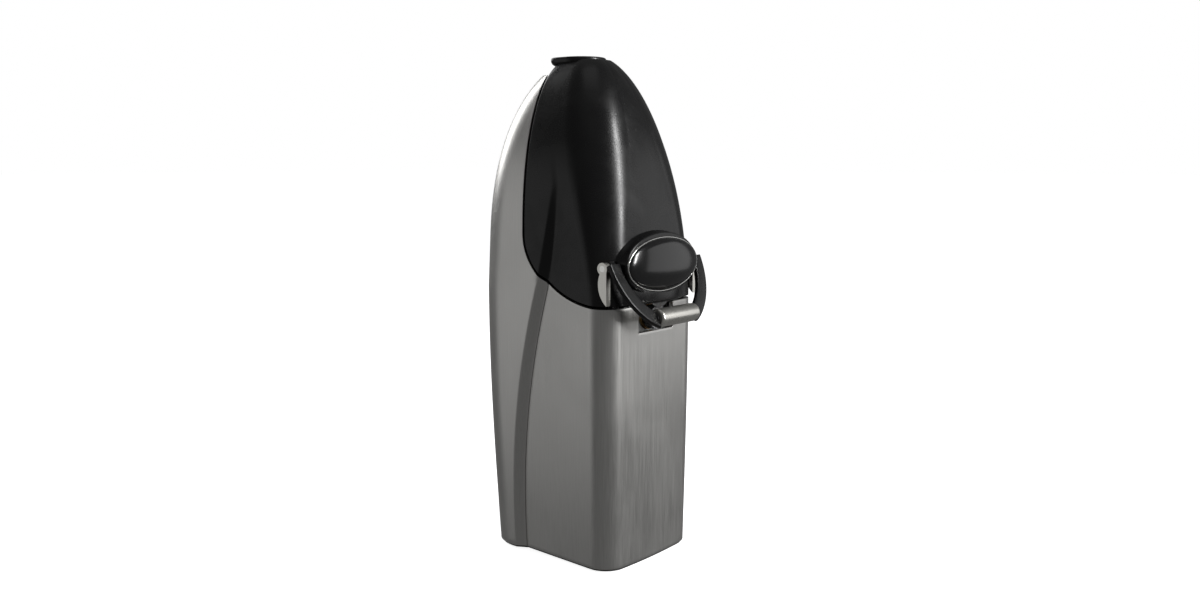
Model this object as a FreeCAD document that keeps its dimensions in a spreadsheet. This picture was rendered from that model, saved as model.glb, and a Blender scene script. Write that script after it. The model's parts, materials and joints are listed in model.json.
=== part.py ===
import FreeCAD
import Part
import math
import os
import Sketcher
from FreeCAD import Placement, Rotation, Vector

# Electric can opener: a tall brushed-metal body with a black lever that
# forms its front and top, a cutter under an oval cap, a serrated drive wheel
# below it and a swinging bail that carries the lid magnet.
#
# Millimetres, +Z up. The front faces -Y and +X is to the right seen from the
# front. Forward distances below are measured from the origin towards -Y, so a
# point that is F forward lies at y = -F. The origin is on the surface that the
# feet stand on, under the middle of the dome.

SIZES = {
    # outer envelope
    "height": 250.0,
    "dome_over": 1.5,
    "base_half_width": 34.5,
    "body_half_width": 36.5,
    "base_rear": 43.3,
    "body_rear": 48.4,
    "base_front": 40.4,
    "body_front": 41.2,
    "front_crown": 0.8,
    "front_corner": 12.0,
    "rear_corner": 19.0,
    "belly_level": 130.0,
    "side_shoulder": 160.0,
    "rear_shoulder": 160.0,
    "front_shoulder": 135.0,
    "step_inset": 3.0,
    "step_share": 0.11,
    "step_low_share": 0.04,
    "step_climb": 0.66,
    "step_top": 187.0,
    "step_fade": 140.0,
    "step_end": 205.0,
    "nose_round": 0.9,
    "nape_round": 0.85,
    # shells
    "wall": 2.4,
    "roof_drop": 9.0,
    "liner_gap": 0.2,
    "parting_gap": 0.25,
    "seam_gap": 1.4,
    "seam_back": 12.0,
    "seam_turn_level": 163.0,
    "seam_turn_forward": 36.0,
    "seam_low_level": 130.8,
    "scoop_drop": 9.0,
    "recess_half_width": 14.0,
    "recess_bottom": 116.4,
    # inner cover behind the lever
    "cover_inset": 7.0,
    "cover_wall": 2.0,
    "cover_drop": 22.0,
    "cover_over": 6.0,
    "cover_low": 127.0,
    "cover_flange": 2.0,
    # base
    "shell_bottom": 1.6,
    "base_bottom": 0.6,
    "base_lip": 0.9,
    "base_top": 4.6,
    "foot_radius": 5.5,
    "foot_height": 1.8,
    "foot_side": 17.0,
    "foot_rear": 26.0,
    "foot_front": 24.0,
    "post_radius": 4.2,
    "post_side": 28.6,
    "post_rear": 22.0,
    "post_front": 21.0,
    "post_top": 20.0,
    "screw_radius": 1.5,
    "screw_head_radius": 2.8,
    "screw_head": 1.4,
    "base_screw_length": 10.0,
    # cord inlet
    "inlet_level": 16.0,
    "inlet_bore": 3.3,
    "inlet_neck": 5.0,
    "inlet_flange": 7.0,
    "inlet_lip": 1.5,
    "inlet_slack": 0.5,
    # frame plates
    "front_plate_front": 36.6,
    "plate": 2.0,
    "rear_plate_front": 4.0,
    "plate_half_width": 24.2,
    "front_plate_top": 129.0,
    "rear_plate_low": 22.0,
    "plate_foot": 14.0,
    "standoff_radius": 2.5,
    "standoff_side": 21.5,
    "standoff_low": 30.0,
    "standoff_high": 124.0,
    # gear train
    "drive_level": 123.0,
    "gear_turn_top": 14.0,
    "gear_turn_mid": 28.0,
    "gear_turn_low": 13.8,
    "module_slow": 1.25,
    "module_mid": 1.0,
    "module_fast": 0.8,
    "teeth_pinion": 12.0,
    "teeth_output": 28.0,
    "teeth_second": 38.0,
    "teeth_first": 48.0,
    "tooth_play": 0.16,
    "output_back": 23.0,
    "output_face": 6.0,
    "second_back": 15.0,
    "second_face": 5.0,
    "first_back": 8.0,
    "first_face": 4.0,
    "gear_side_gap": 0.5,
    "axle_radius": 2.0,
    "axle_play": 0.05,
    "shaft_radius": 3.0,
    "bush_radius": 5.0,
    "bush_flange": 6.5,
    "bush_lip": 0.8,
    # drive wheel and cutter
    "wheel_radius": 6.0,
    "wheel_back": 38.4,
    "wheel_front": 42.8,
    "wheel_notch": 0.7,
    "wheel_notches": 20.0,
    "cutter_radius": 10.0,
    "cutter_thick": 1.4,
    "cutter_gap": 0.5,
    "cutter_overlap": 1.0,
    "cutter_pin": 2.0,
    "cutter_hub": 3.4,
    "cutter_play": 0.05,
    "cutter_head": 0.8,
    # lever
    "hinge_forward": -9.5,
    "hinge_drop": 14.0,
    "hinge_pin": 1.5,
    "hinge_play": 0.05,
    "hinge_lug": 3.0,
    "lug_inner": 7.0,
    "lug_thick": 3.0,
    "bracket_half": 6.0,
    "bracket_thick": 1.8,
    "tab_half_width": 12.5,
    "tab_rear": 18.5,
    "tab_corner": 4.0,
    "tab_tip": 3.2,
    "tab_root": 4.8,
    "arm_half_width": 7.0,
    "arm_inset": 3.2,
    "arm_thick": 2.0,
    "arm_flat_level": 158.0,
    "arm_low": 133.0,
    "arm_drop": 14.0,
    "arm_end_angle": 74.0,
    # head
    "head_level": 149.3,
    "pad_half_width": 28.4,
    "pad_half_height": 15.5,
    "pad_front": 45.6,
    "pad_back": 36.0,
    "skirt_half_width": 28.0,
    "skirt_side": 40.0,
    "skirt_front": 47.8,
    "cap_half_width": 27.4,
    "cap_half_height": 12.6,
    "cap_dome": 4.2,
    "cap_rim": 0.8,
    "cap_wall": 1.6,
    "trim_width": 0.7,
    "chamber_room": 1.2,
    "chamber_top": 158.5,
    "bracket_plate": 2.5,
    "bracket_plate_half": 7.0,
    # bail and magnet
    "ear_radius": 12.5,
    "ear_forward": 47.5,
    "ear_level": 141.5,
    "ear_clip": 40.0,
    "ear_clear": 0.5,
    "ear_inner": 33.6,
    "ear_thick": 3.0,
    "ear_lobe": 2.9,
    "bail_forward": 37.5,
    "bail_level": 149.0,
    "bail_lean": 24.6,
    "bail_outer": 36.7,
    "bail_inner": 29.8,
    "bail_thick": 2.6,
    "bail_offset": 3.0,
    "bail_pin": 1.5,
    "bail_play": 0.05,
    "bail_knuckle": 3.5,
    "magnet_radius": 4.5,
    "magnet_half_length": 15.2,
    "magnet_reach": 28.5,
    "magnet_bore": 2.0,
    # motor
    "stator_back": 26.0,
    "stator_front": 6.0,
    "stator_half_width": 25.0,
    "stator_half_height": 22.0,
    "stator_bore": 14.0,
    "rotor_gap": 0.5,
    "rotor_shaft": 2.0,
    "motor_strap": 2.0,
    "motor_post": 2.2,
    "motor_post_side": 20.5,
    "fan_radius": 17.0,
    "fan_blades": 8.0,
    "coil_wall": 5.0,
    # switch
    "switch_level": 136.0,
    "switch_side": 18.0,
    "plunger_radius": 1.6,
    "plunger_travel": 1.5,
}

FORWARD = Rotation(Vector(1, 0, 0), 90)
SIDEWAYS = Rotation(Vector(0, 1, 0), 90)
UPRIGHT = Rotation()
BACKWARD = Rotation(Vector(1, 0, 0), -90)
DOWNWARD = Rotation(Vector(1, 0, 0), 180)

doc = FreeCAD.newDocument("CanOpener")
sheet = doc.addObject("Spreadsheet::Sheet", "Sizes")
for row, (alias, value) in enumerate(SIZES.items(), start=1):
    sheet.set(f"A{row}", alias)
    sheet.set(f"B{row}", str(value))
    sheet.setAlias(f"B{row}", alias)
doc.recompute()


def size(alias):
    """The value that the sheet holds for one alias."""
    return float(sheet.get(alias))


def bound(text):
    """An expression in which every word is a cell of the sheet."""
    words = []
    word = ""
    for letter in text + " ":
        if letter.isalpha() or letter == "_":
            word += letter
            continue
        if word:
            words.append(word if word in ("cos", "sin", "deg") else "Sizes." + word)
            word = ""
        words.append(letter)
    return "".join(words).strip()


# ---------------------------------------------------------------- helpers

def move(thing, x, y, z, turn=UPRIGHT):
    """Place an object by three expressions and a fixed rotation."""
    thing.Placement = Placement(Vector(0, 0, 0), turn)
    for letter, text in zip("xyz", (x, y, z)):
        thing.setExpression(f"Placement.Base.{letter}", bound(text))
    return thing


def box(name, x, y, z, corner, turn=UPRIGHT):
    """A box of three expressions, its low corner at another three."""
    made = doc.addObject("Part::Box", name)
    for key, text in zip(("Length", "Width", "Height"), (x, y, z)):
        made.setExpression(key, bound(text))
    return move(made, *corner, turn)


def rod(name, radius, length, start, turn=UPRIGHT):
    """A cylinder that starts at a point and runs along its turned Z axis."""
    made = doc.addObject("Part::Cylinder", name)
    made.setExpression("Radius", bound(radius))
    made.setExpression("Height", bound(length))
    return move(made, *start, turn)


def cut(name, base, tool):
    made = doc.addObject("Part::Cut", name)
    made.Base = base
    made.Tool = tool
    return made


def common(name, first, second):
    made = doc.addObject("Part::MultiCommon", name)
    made.Shapes = [first, second]
    return made


def fuse(name, *pieces):
    made = doc.addObject("Part::MultiFuse", name)
    made.Shapes = list(pieces)
    return made


def group(name, *pieces):
    """Separate solids that are kept in one sub-part."""
    made = doc.addObject("Part::Compound", name)
    made.Links = list(pieces)
    return made


def formed(name, shape):
    """A shape made by formula from the sheet's values."""
    made = doc.addObject("Part::Feature", name)
    made.Shape = shape
    return made


def body(name, x, y, z, turn):
    made = doc.addObject("PartDesign::Body", name)
    return move(made, x, y, z, turn)


def sketch_on(owner, role, name):
    made = owner.newObject("Sketcher::SketchObject", name)
    plane = [one for one in owner.Origin.OriginFeatures if one.Role == role][0]
    made.AttachmentSupport = [(plane, "")]
    made.MapMode = "FlatFace"
    return made


def pin_point(sketch, line, end, x, y):
    """Hold one point of a sketch at two expressions from its origin."""
    for kind, text in (("DistanceX", x), ("DistanceY", y)):
        number = sketch.addConstraint(Sketcher.Constraint(kind, -1, 1, line, end, 1.0))
        sketch.setExpression(f"Constraints[{number}]", bound(text))


def draw_outline(sketch, corners):
    """A closed outline of straight lines through corners given as expressions."""
    count = len(corners)
    spots = [Vector(math.cos(2 * math.pi * k / count), math.sin(2 * math.pi * k / count), 0)
             for k in range(count)]
    lines = [sketch.addGeometry(Part.LineSegment(spots[k], spots[(k + 1) % count]), False)
             for k in range(count)]
    for k in range(count):
        following = lines[(k + 1) % count]
        sketch.addConstraint(Sketcher.Constraint("Coincident", lines[k], 2, following, 1))
    for line, (x, y) in zip(lines, corners):
        pin_point(sketch, line, 1, x, y)


def draw_circle(sketch, x, y, radius):
    ring = sketch.addGeometry(Part.Circle(Vector(1, 1, 0), Vector(0, 0, 1), 1.0), False)
    pin_point(sketch, ring, 3, x, y)
    number = sketch.addConstraint(Sketcher.Constraint("Radius", ring, 1.0))
    sketch.setExpression(f"Constraints[{number}]", bound(radius))


def turned(name, start, turn, profile):
    """A turned piece: a half profile of (radius, height) revolved about its axis."""
    owner = body(name, *start, turn)
    sketch = sketch_on(owner, "XZ_Plane", name + "_profile")
    draw_outline(sketch, profile)
    made = owner.newObject("PartDesign::Revolution", name + "_turning")
    made.Profile = sketch
    made.ReferenceAxis = (sketch, ["V_Axis"])
    made.Angle = 360
    return owner


def sheet_plate(name, start, turn, corners, holes, thick):
    """A flat plate: an outline with round holes, padded along its turned Z axis."""
    owner = body(name, *start, turn)
    sketch = sketch_on(owner, "XY_Plane", name + "_outline")
    draw_outline(sketch, corners)
    for x, y, radius in holes:
        draw_circle(sketch, x, y, radius)
    made = owner.newObject("PartDesign::Pad", name + "_plate")
    made.Profile = sketch
    made.setExpression("Length", bound(thick))
    return owner


def rectangle(low_x, low_y, high_x, high_y):
    return [(low_x, low_y), (high_x, low_y), (high_x, high_y), (low_x, high_y)]


def sleeve(inner, outer, length):
    return [(inner, "0"), (outer, "0"), (outer, length), (inner, length)]


def screw(name, start, turn, length):
    """A pan-head screw whose head sits behind its start point."""
    return turned(name, start, turn, [
        ("0", "-screw_head"), ("screw_head_radius * 0.7", "-screw_head"),
        ("screw_head_radius", "-screw_head * 0.5"), ("screw_head_radius", "0"),
        ("screw_radius", "0"), ("screw_radius", length), ("0", length)])


# --------------------------------------------------------------- envelope

def dome(level, shoulder, power, top):
    """Share of the full size left at a level of the dome: 1 up to the shoulder."""
    if level <= shoulder:
        return 1.0
    return math.sqrt(1 - ((level - shoulder) / (top - shoulder)) ** power)


def swell(low, high, level):
    """The lower body's gentle swelling from the base up to the belly."""
    share = min(max(level / size("belly_level"), 0), 1)
    return low + (high - low) * math.sin(share * math.pi / 2)


def grown_round(straight, full, level, top):
    """A corner radius that grows from the body's own to the dome's as the level rises."""
    rise = max(level - size("front_shoulder"), 0) / (top - size("front_shoulder"))
    return straight * (1 - rise) + full * rise


def section_values(level, inset, drop, over):
    """Half width, rear, front, corner radii and step of one level's outline."""
    top = size("height") + over - drop
    side = dome(level, size("side_shoulder"), 2.3, top)
    back = dome(level, size("rear_shoulder"), 2.4, top)
    fore = dome(level, size("front_shoulder"), 2.0, top)
    half = (swell(size("base_half_width"), size("body_half_width"), level) - inset) * side
    rear = (swell(size("base_rear"), size("body_rear"), level) - inset) * back
    front = (swell(size("base_front"), size("body_front"), level) - inset) * fore
    rear_round = grown_round((size("rear_corner") - 0.8 * inset) * min(side, back),
                             size("nape_round") * min(half, rear), level, top)
    front_round = grown_round((size("front_corner") - 0.8 * inset) * min(side, fore),
                              size("nose_round") * min(half, front), level, top)
    fade = (size("step_end") - level) / (size("step_end") - size("step_fade"))
    fade = min(max(fade, 0), 1)
    inward = size("step_inset") * fade * fade * (3 - 2 * fade) * side
    climb = min((max(level, 0) / size("step_top")) ** 1.9, 1)
    flank = rear + front - rear_round - front_round
    step_start = rear_round - rear + flank * (size("step_low_share") + size("step_climb") * climb)
    step_stop = step_start + flank * size("step_share")
    return half, rear, front, rear_round, front_round, inward, step_start, step_stop


def point(x, forward, level):
    return Vector(x, -forward, level)


def round_corner(centre_x, centre_f, radius, low, high, level):
    """An arc edge between two angles measured from +X towards the front."""
    middle = (low + high) / 2
    spots = [point(centre_x + radius * math.cos(a), centre_f + radius * math.sin(a), level)
             for a in (low, middle, high)]
    return Part.Arc(*spots).toShape()


def outline(level, inset=0.0, drop=0.0, over=0.0, shape_level=None):
    """One closed outline: rear lobe, a step in each flank, and a crowned front."""
    values = section_values(level if shape_level is None else shape_level, inset, drop, over)
    half, rear, front, rear_round, front_round, inward, start, stop = values
    quarter = math.pi / 2
    crown = size("front_crown") * front / size("body_front")
    rear_centre = rear_round - rear
    front_centre = front - front_round
    inner = half - front_round
    edges = [round_corner(half - rear_round, rear_centre, rear_round, -quarter, 0, level)]
    right = [(half, rear_centre), (half, start), (half - inward, stop), (half, front_centre)]
    spots = [point(x, f, level) for x, f in right]
    edges += [Part.makeLine(a, b) for a, b in zip(spots, spots[1:])]
    edges.append(round_corner(inner, front_centre, front_round, 0, quarter, level))
    face = [point(inner, front, level), point(0, front + crown, level), point(-inner, front, level)]
    edges.append(Part.Arc(*face).toShape())
    edges.append(round_corner(-inner, front_centre, front_round, quarter, 2 * quarter, level))
    spots = [point(-x, f, level) for x, f in reversed(right)]
    edges += [Part.makeLine(a, b) for a, b in zip(spots, spots[1:])]
    edges.append(round_corner(rear_round - half, rear_centre, rear_round,
                              2 * quarter, 3 * quarter, level))
    edges.append(Part.makeLine(point(rear_round - half, -rear, level),
                               point(half - rear_round, -rear, level)))
    return Part.Wire(edges)


def bullet(bottom, inset=0.0, drop=0.0, over=None):
    """The tall domed solid through its outlines, from a bottom level to its flat top."""
    over = size("dome_over") if over is None else over
    shoulder = size("front_shoulder")
    top = size("height") - drop
    steepest = math.asin((top - shoulder) / (top + over - shoulder))
    levels = [shoulder * k / 8 for k in range(1, 9)]
    levels += [shoulder + (top + over - shoulder) * math.sin(steepest * k / 11)
               for k in range(1, 12)]
    levels = [level for level in levels[:-1] if level > bottom + size("wall")] + [top]
    wires = [outline(bottom, inset, drop, over, shape_level=max(bottom, 0))]
    wires += [outline(level, inset, drop, over) for level in levels]
    return Part.makeLoft(wires, True, False)


envelope = formed("envelope", bullet(size("shell_bottom")))
cavity = formed("cavity", bullet(-2.0, size("wall"), size("roof_drop")))


def side_region(name, gap):
    """Everything above and in front of the lever seam, grown by a gap."""
    back = -size("seam_back") - gap
    low = size("seam_low_level") - gap
    turn_level = size("seam_turn_level")
    turn_forward = size("seam_turn_forward")
    far = 2 * size("body_front")
    high = 2 * size("height")
    reach = 2 * size("body_half_width")
    centre = point(-reach, turn_forward, turn_level)
    curve = Part.Ellipse(point(-reach, back, turn_level), point(-reach, turn_forward, low), centre)
    bend = Part.ArcOfEllipse(curve, 0, math.pi / 2).toShape()
    corners = [point(-reach, turn_forward, low), point(-reach, far, low), point(-reach, far, high),
               point(-reach, back, high), point(-reach, back, turn_level)]
    edges = [bend] + [Part.makeLine(a, b) for a, b in zip(corners, corners[1:])]
    face = Part.Face(Part.Wire(Part.__sortEdges__(edges)))
    return formed(name, face.extrude(Vector(2 * reach, 0, 0)))


def front_region(name, gap):
    """Everything in front of the parting line at the foot of the flank step."""
    reach = 2 * size("body_half_width")
    far = 2 * size("body_front")
    levels = [size("seam_turn_level") * k / 6 for k in range(7)]
    spots = [point(-reach, section_values(level, 0, 0, size("dome_over"))[7] - gap, level)
             for level in levels]
    spots[0].z = -5
    curve = Part.BSplineCurve()
    curve.interpolate(spots)
    low = point(-reach, far, spots[0].z)
    high = point(-reach, far, spots[-1].z)
    edges = [curve.toShape(), Part.makeLine(spots[-1], high), Part.makeLine(high, low),
             Part.makeLine(low, spots[0])]
    face = Part.Face(Part.Wire(Part.__sortEdges__(edges)))
    return formed(name, face.extrude(Vector(2 * reach, 0, 0)))


lever_region = side_region("lever_region", 0)
opened_region = side_region("opened_region", size("seam_gap"))
front_half = front_region("front_half", 0)
front_grown = front_region("front_grown", size("parting_gap"))

# ----------------------------------------------------------------- housing

shell_blank = cut("shell_blank", envelope, cavity)
body_blank = cut("body_blank", shell_blank, opened_region)


def with_posts(name, shell, forward):
    """A shell with a pair of bored screw posts beside its flanks, just above the base."""
    outers = []
    bores = []
    for side, sign in (("left", "-"), ("right", "")):
        spot = (f"{sign}post_side", f"-({forward})", "base_top")
        outers.append(rod(f"{name}_{side}_post", "post_radius", "post_top - base_top", spot))
        bores.append(rod(f"{name}_{side}_bore", "screw_radius", "post_top - base_top", spot))
    return cut(name, fuse(f"{name}_with_posts", shell, *outers), fuse(f"{name}_bores", *bores))


rear_blank = cut("rear_blank", body_blank, front_grown)
scoop = box("scoop", "4 * tab_half_width", "body_rear", "scoop_drop + dome_over",
            ("-2 * tab_half_width", "seam_back", "height - scoop_drop"))
rear_scooped = cut("rear_scooped", rear_blank, scoop)
inlet_hole = rod("inlet_hole", "inlet_neck", "2 * rear_corner",
                 ("0", "body_rear + wall", "inlet_level"), FORWARD)
rear_bored = cut("rear_bored", rear_scooped, inlet_hole)
rear_shell = with_posts("rear_shell", rear_bored, "-post_rear")

front_blank = common("front_blank", body_blank, front_half)
recess = box("recess", "2 * recess_half_width", "4 * wall", "seam_low_level - recess_bottom",
             ("-recess_half_width", "-(body_front + 3 * wall)", "recess_bottom"))
front_cut = cut("front_cut", front_blank, recess)
front_shell = with_posts("front_shell", front_cut, "post_front")

# base plate: a wider lip below the shells and a plug inside them
lip = formed("base_lip_block", Part.Face(outline(size("base_bottom"), size("base_lip"))).extrude(
    Vector(0, 0, size("shell_bottom") - size("base_bottom"))))
plug = formed("base_plug_block",
              Part.Face(outline(size("shell_bottom"), size("wall") + size("liner_gap"))).extrude(
                  Vector(0, 0, size("base_top") - size("shell_bottom"))))
base_blank = fuse("base_blank", lip, plug)
corner_signs = [(side, end) for side in (-1, 1) for end in ("rear", "front")]
FOOT_FORWARD = {"rear": "-foot_rear", "front": "foot_front"}
POST_FORWARD = {"rear": "-post_rear", "front": "post_front"}


def at_side(side, alias):
    return ("-" if side < 0 else "") + alias


foot_pockets = []
feet_pads = []
base_screws_list = []
for number, (side, end) in enumerate(corner_signs):
    foot_spot = (at_side(side, "foot_side"), f"-({FOOT_FORWARD[end]})", "0")
    feet_pads.append(turned(f"foot_{number}", foot_spot, UPRIGHT, [
        ("0", "0"), ("foot_radius - 0.6", "0"), ("foot_radius", "0.4"),
        ("foot_radius", "foot_height"), ("0", "foot_height")]))
    foot_pockets.append(rod(f"foot_pocket_{number}", "foot_radius", "foot_height", foot_spot))
    post_spot = (at_side(side, "post_side"), f"-({POST_FORWARD[end]})", "base_bottom + screw_head")
    base_screws_list.append(screw(f"base_screw_{number}", post_spot, UPRIGHT, "base_screw_length"))
    foot_pockets.append(rod(f"screw_hole_{number}", "screw_radius", "base_top", post_spot))
    foot_pockets.append(rod(f"screw_seat_{number}", "screw_head_radius", "2 * screw_head",
                            (post_spot[0], post_spot[1], "base_bottom - screw_head")))
base_plate = cut("base_plate", base_blank, fuse("base_pockets", *foot_pockets))
feet = group("feet", *feet_pads)
base_screws = group("base_screws", *base_screws_list)

# grommet in the rear wall, with a flange on each side of it
inlet_seat = (section_values(size("inlet_level"), 0, 0, size("dome_over"))[1]
              + size("inlet_slack") + size("inlet_lip"))
inlet_neck_end = "inlet_lip + wall + 2 * inlet_slack"
cord_inlet = turned("cord_inlet", ("0", f"{inlet_seat:.4f}", "inlet_level"), FORWARD, [
    ("inlet_bore", "0"), ("inlet_flange", "0"), ("inlet_flange", "inlet_lip"),
    ("inlet_neck", "inlet_lip"), ("inlet_neck", inlet_neck_end),
    ("inlet_flange", inlet_neck_end), ("inlet_flange", f"{inlet_neck_end} + inlet_lip"),
    ("inlet_bore", f"{inlet_neck_end} + inlet_lip")])

# cover behind the lever: a smaller dome with a flange below and one behind
cover_outer = formed("cover_outer", bullet(size("cover_low"), size("cover_inset"),
                                           size("cover_drop"), size("cover_over")))
cover_inner = formed("cover_inner", bullet(
    size("cover_low") - 1, size("cover_inset") + size("cover_wall"),
    size("cover_drop") + size("cover_wall"), size("cover_over")))
liner = formed("liner", bullet(size("cover_low"), size("wall") + size("liner_gap"),
                               size("roof_drop") + size("liner_gap")))
cover_back = "seam_back + seam_gap + cover_flange + liner_gap"
cover_span = "2 * body_half_width"
cover_room = box("cover_room", cover_span, f"front_plate_front - plate - wall / 8 + {cover_back}",
                 "height", ("-body_half_width", "-(front_plate_front - plate - wall / 8)",
                            "cover_low"))
low_slab = box("low_slab", cover_span, "4 * body_rear", "cover_flange",
               ("-body_half_width", "-2 * body_rear", "cover_low"))
rear_slab = box("rear_slab", cover_span, "cover_flange", "height",
                ("-body_half_width", "seam_back + seam_gap + liner_gap", "cover_low"))
cover_ribs = common("cover_ribs", liner, fuse("cover_slabs", low_slab, rear_slab))
cover_solid = common("cover_solid", fuse("cover_mass", cover_outer, cover_ribs), cover_room)
cover_shell = cut("cover_shell", cover_solid, cover_inner)
plunger_hole = rod("plunger_hole", "plunger_radius + 2 * axle_play", "2 * body_front",
                   ("switch_side", "0", "switch_level"), FORWARD)
inner_cover = cut("inner_cover", cover_shell, plunger_hole)

# ----------------------------------------------------------- frame and gears

SECOND_X = "((teeth_output + teeth_pinion) * module_slow / 2 * sin(gear_turn_top))"
SECOND_Z = "(drive_level - (teeth_output + teeth_pinion) * module_slow / 2 * cos(gear_turn_top))"
FIRST_X = f"({SECOND_X} - (teeth_second + teeth_pinion) * module_mid / 2 * sin(gear_turn_mid))"
FIRST_Z = f"({SECOND_Z} - (teeth_second + teeth_pinion) * module_mid / 2 * cos(gear_turn_mid))"
MOTOR_X = f"({FIRST_X} + (teeth_first + teeth_pinion) * module_fast / 2 * sin(gear_turn_low))"
MOTOR_Z = f"({FIRST_Z} - (teeth_first + teeth_pinion) * module_fast / 2 * cos(gear_turn_low))"

standoff_spots = [(at_side(side, "standoff_side"), level)
                  for side in (-1, 1) for level in ("standoff_low", "standoff_high")]
standoff_holes = [(x, z, "screw_radius") for x, z in standoff_spots]
axle_holes = [(SECOND_X, SECOND_Z, "axle_radius"), (FIRST_X, FIRST_Z, "axle_radius")]
shaft_hole = [("0", "drive_level", "bush_radius")]
motor_hole = [(MOTOR_X, MOTOR_Z, "bush_radius")]
front_plate = sheet_plate("front_plate", ("0", "-(front_plate_front - plate)", "0"), FORWARD,
                          rectangle("-plate_half_width", "base_top", "plate_half_width",
                                    "front_plate_top"),
                          standoff_holes + axle_holes + shaft_hole, "plate")
rear_plate = sheet_plate("rear_plate", ("0", "-(rear_plate_front - plate)", "0"), FORWARD,
                         rectangle("-plate_half_width", "rear_plate_low", "plate_half_width",
                                   "front_plate_top + plate"),
                         standoff_holes + axle_holes + shaft_hole + motor_hole, "plate")
foot_bracket = sheet_plate("foot_bracket", ("0", "-(front_plate_front - plate - plate_foot)",
                                            "base_top"), UPRIGHT,
                           rectangle("-plate_half_width / 2", "-plate_foot",
                                     "plate_half_width / 2", "0"),
                           [("0", "-plate_foot / 2", "screw_radius")], "plate")
foot_screw = screw("foot_screw", ("0", "-(front_plate_front - plate - plate_foot / 2)",
                                  "base_top + plate"), DOWNWARD, "plate")

plate_gap = "front_plate_front - plate - rear_plate_front"
standoffs = group("standoffs", *[
    turned(f"standoff_{number}", (x, "-rear_plate_front", z), FORWARD,
           sleeve("screw_radius", "standoff_radius", plate_gap))
    for number, (x, z) in enumerate(standoff_spots)])
plate_screws = group("plate_screws", *[
    screw(f"plate_screw_{number}", (x, "-front_plate_front", z), BACKWARD, "plate * 4")
    for number, (x, z) in enumerate(standoff_spots)])


def axle(name, x, z):
    return turned(name, (x, "-(rear_plate_front - plate)", z), FORWARD,
                  [("0", "0"), ("axle_radius", "0"),
                   ("axle_radius", "front_plate_front - rear_plate_front + plate"),
                   ("0", "front_plate_front - rear_plate_front + plate")])


second_axle = axle("second_axle", SECOND_X, SECOND_Z)
first_axle = axle("first_axle", FIRST_X, FIRST_Z)


def bush(name, bore, start, turn):
    """A flanged bearing pressed into a plate, its flange on the plate's far side."""
    return turned(name, start, turn, [
        (bore, "-bush_lip"), ("bush_flange", "-bush_lip"), ("bush_flange", "0"),
        ("bush_radius", "0"), ("bush_radius", "plate"), (bore, "plate")])


shaft_bushes = group(
    "shaft_bushes",
    bush("front_bush", "shaft_radius + axle_play", ("0", "-front_plate_front", "drive_level"),
         BACKWARD),
    bush("rear_bush", "shaft_radius + axle_play", ("0", "-(rear_plate_front - plate)",
                                                  "drive_level"), FORWARD))


def tooth_half_angle(radius, teeth, module):
    """Half the angle that one involute tooth spans at a radius, 20 degree pressure angle."""
    slant = math.radians(20)
    pitch = teeth * module / 2
    base = pitch * math.cos(slant)
    pressure = math.acos(min(base / max(radius, base), 1))
    thin = size("tooth_play") * module / (2 * pitch)
    return (math.pi / (2 * teeth) - thin + math.tan(slant) - slant
            - math.tan(pressure) + pressure)


def toothed(teeth, module, face, bore, phase):
    """A spur gear along +Z with one tooth centred on the phase angle."""
    pitch = teeth * module / 2
    base = pitch * math.cos(math.radians(20))
    root = pitch - 1.25 * module
    tip = pitch + 0.85 * module
    flank = [root, max(base, root + 0.1 * module), (base + tip) / 2 + 0.1 * module, tip]
    spots = []
    for tooth in range(int(teeth)):
        middle = phase + 2 * math.pi * tooth / teeth
        for side, radii in ((-1, flank), (1, flank[::-1])):
            for radius in radii:
                angle = middle + side * tooth_half_angle(radius, teeth, module)
                spots.append(Vector(radius * math.cos(angle), radius * math.sin(angle), 0))
    blank = Part.Face(Part.makePolygon(spots + spots[:1])).extrude(Vector(0, 0, face))
    return blank.cut(Part.makeCylinder(bore, face))


def mesh_angle(pair_from, pair_to):
    return math.atan2(pair_to[1] - pair_from[1], pair_to[0] - pair_from[0])


pinion_teeth = size("teeth_pinion")
drive_at = (0.0, size("drive_level"))


def stepped(spot, teeth, module, turn, side):
    """The next gear centre down the train, tilted from straight down by a turn."""
    reach = (teeth + pinion_teeth) * module / 2
    tilt = math.radians(turn)
    return spot[0] + side * reach * math.sin(tilt), spot[1] - reach * math.cos(tilt)


second_at = stepped(drive_at, size("teeth_output"), size("module_slow"), size("gear_turn_top"), 1)
first_at = stepped(second_at, size("teeth_second"), size("module_mid"), size("gear_turn_mid"), -1)
motor_at = stepped(first_at, size("teeth_first"), size("module_fast"), size("gear_turn_low"), 1)


def wheel_gear(name, teeth, module, at, towards, back, face, bore):
    """A large gear with a tooth pointing at the pinion that drives it."""
    made = formed(name, toothed(size(teeth), size(module), size(face), bore,
                                mesh_angle(at, towards)))
    made.Placement = Placement(point(at[0], size(back), at[1]), FORWARD)
    return made


def pinion_gear(name, module, at, towards, back, face, bore):
    """A pinion with a gap pointing at the gear that it drives, a little wider than it."""
    extra = size("gear_side_gap")
    phase = mesh_angle(at, towards) + math.pi / pinion_teeth
    made = formed(name, toothed(pinion_teeth, size(module), size(face) + 2 * extra, bore, phase))
    made.Placement = Placement(point(at[0], size(back) - extra, at[1]), FORWARD)
    return made


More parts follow.
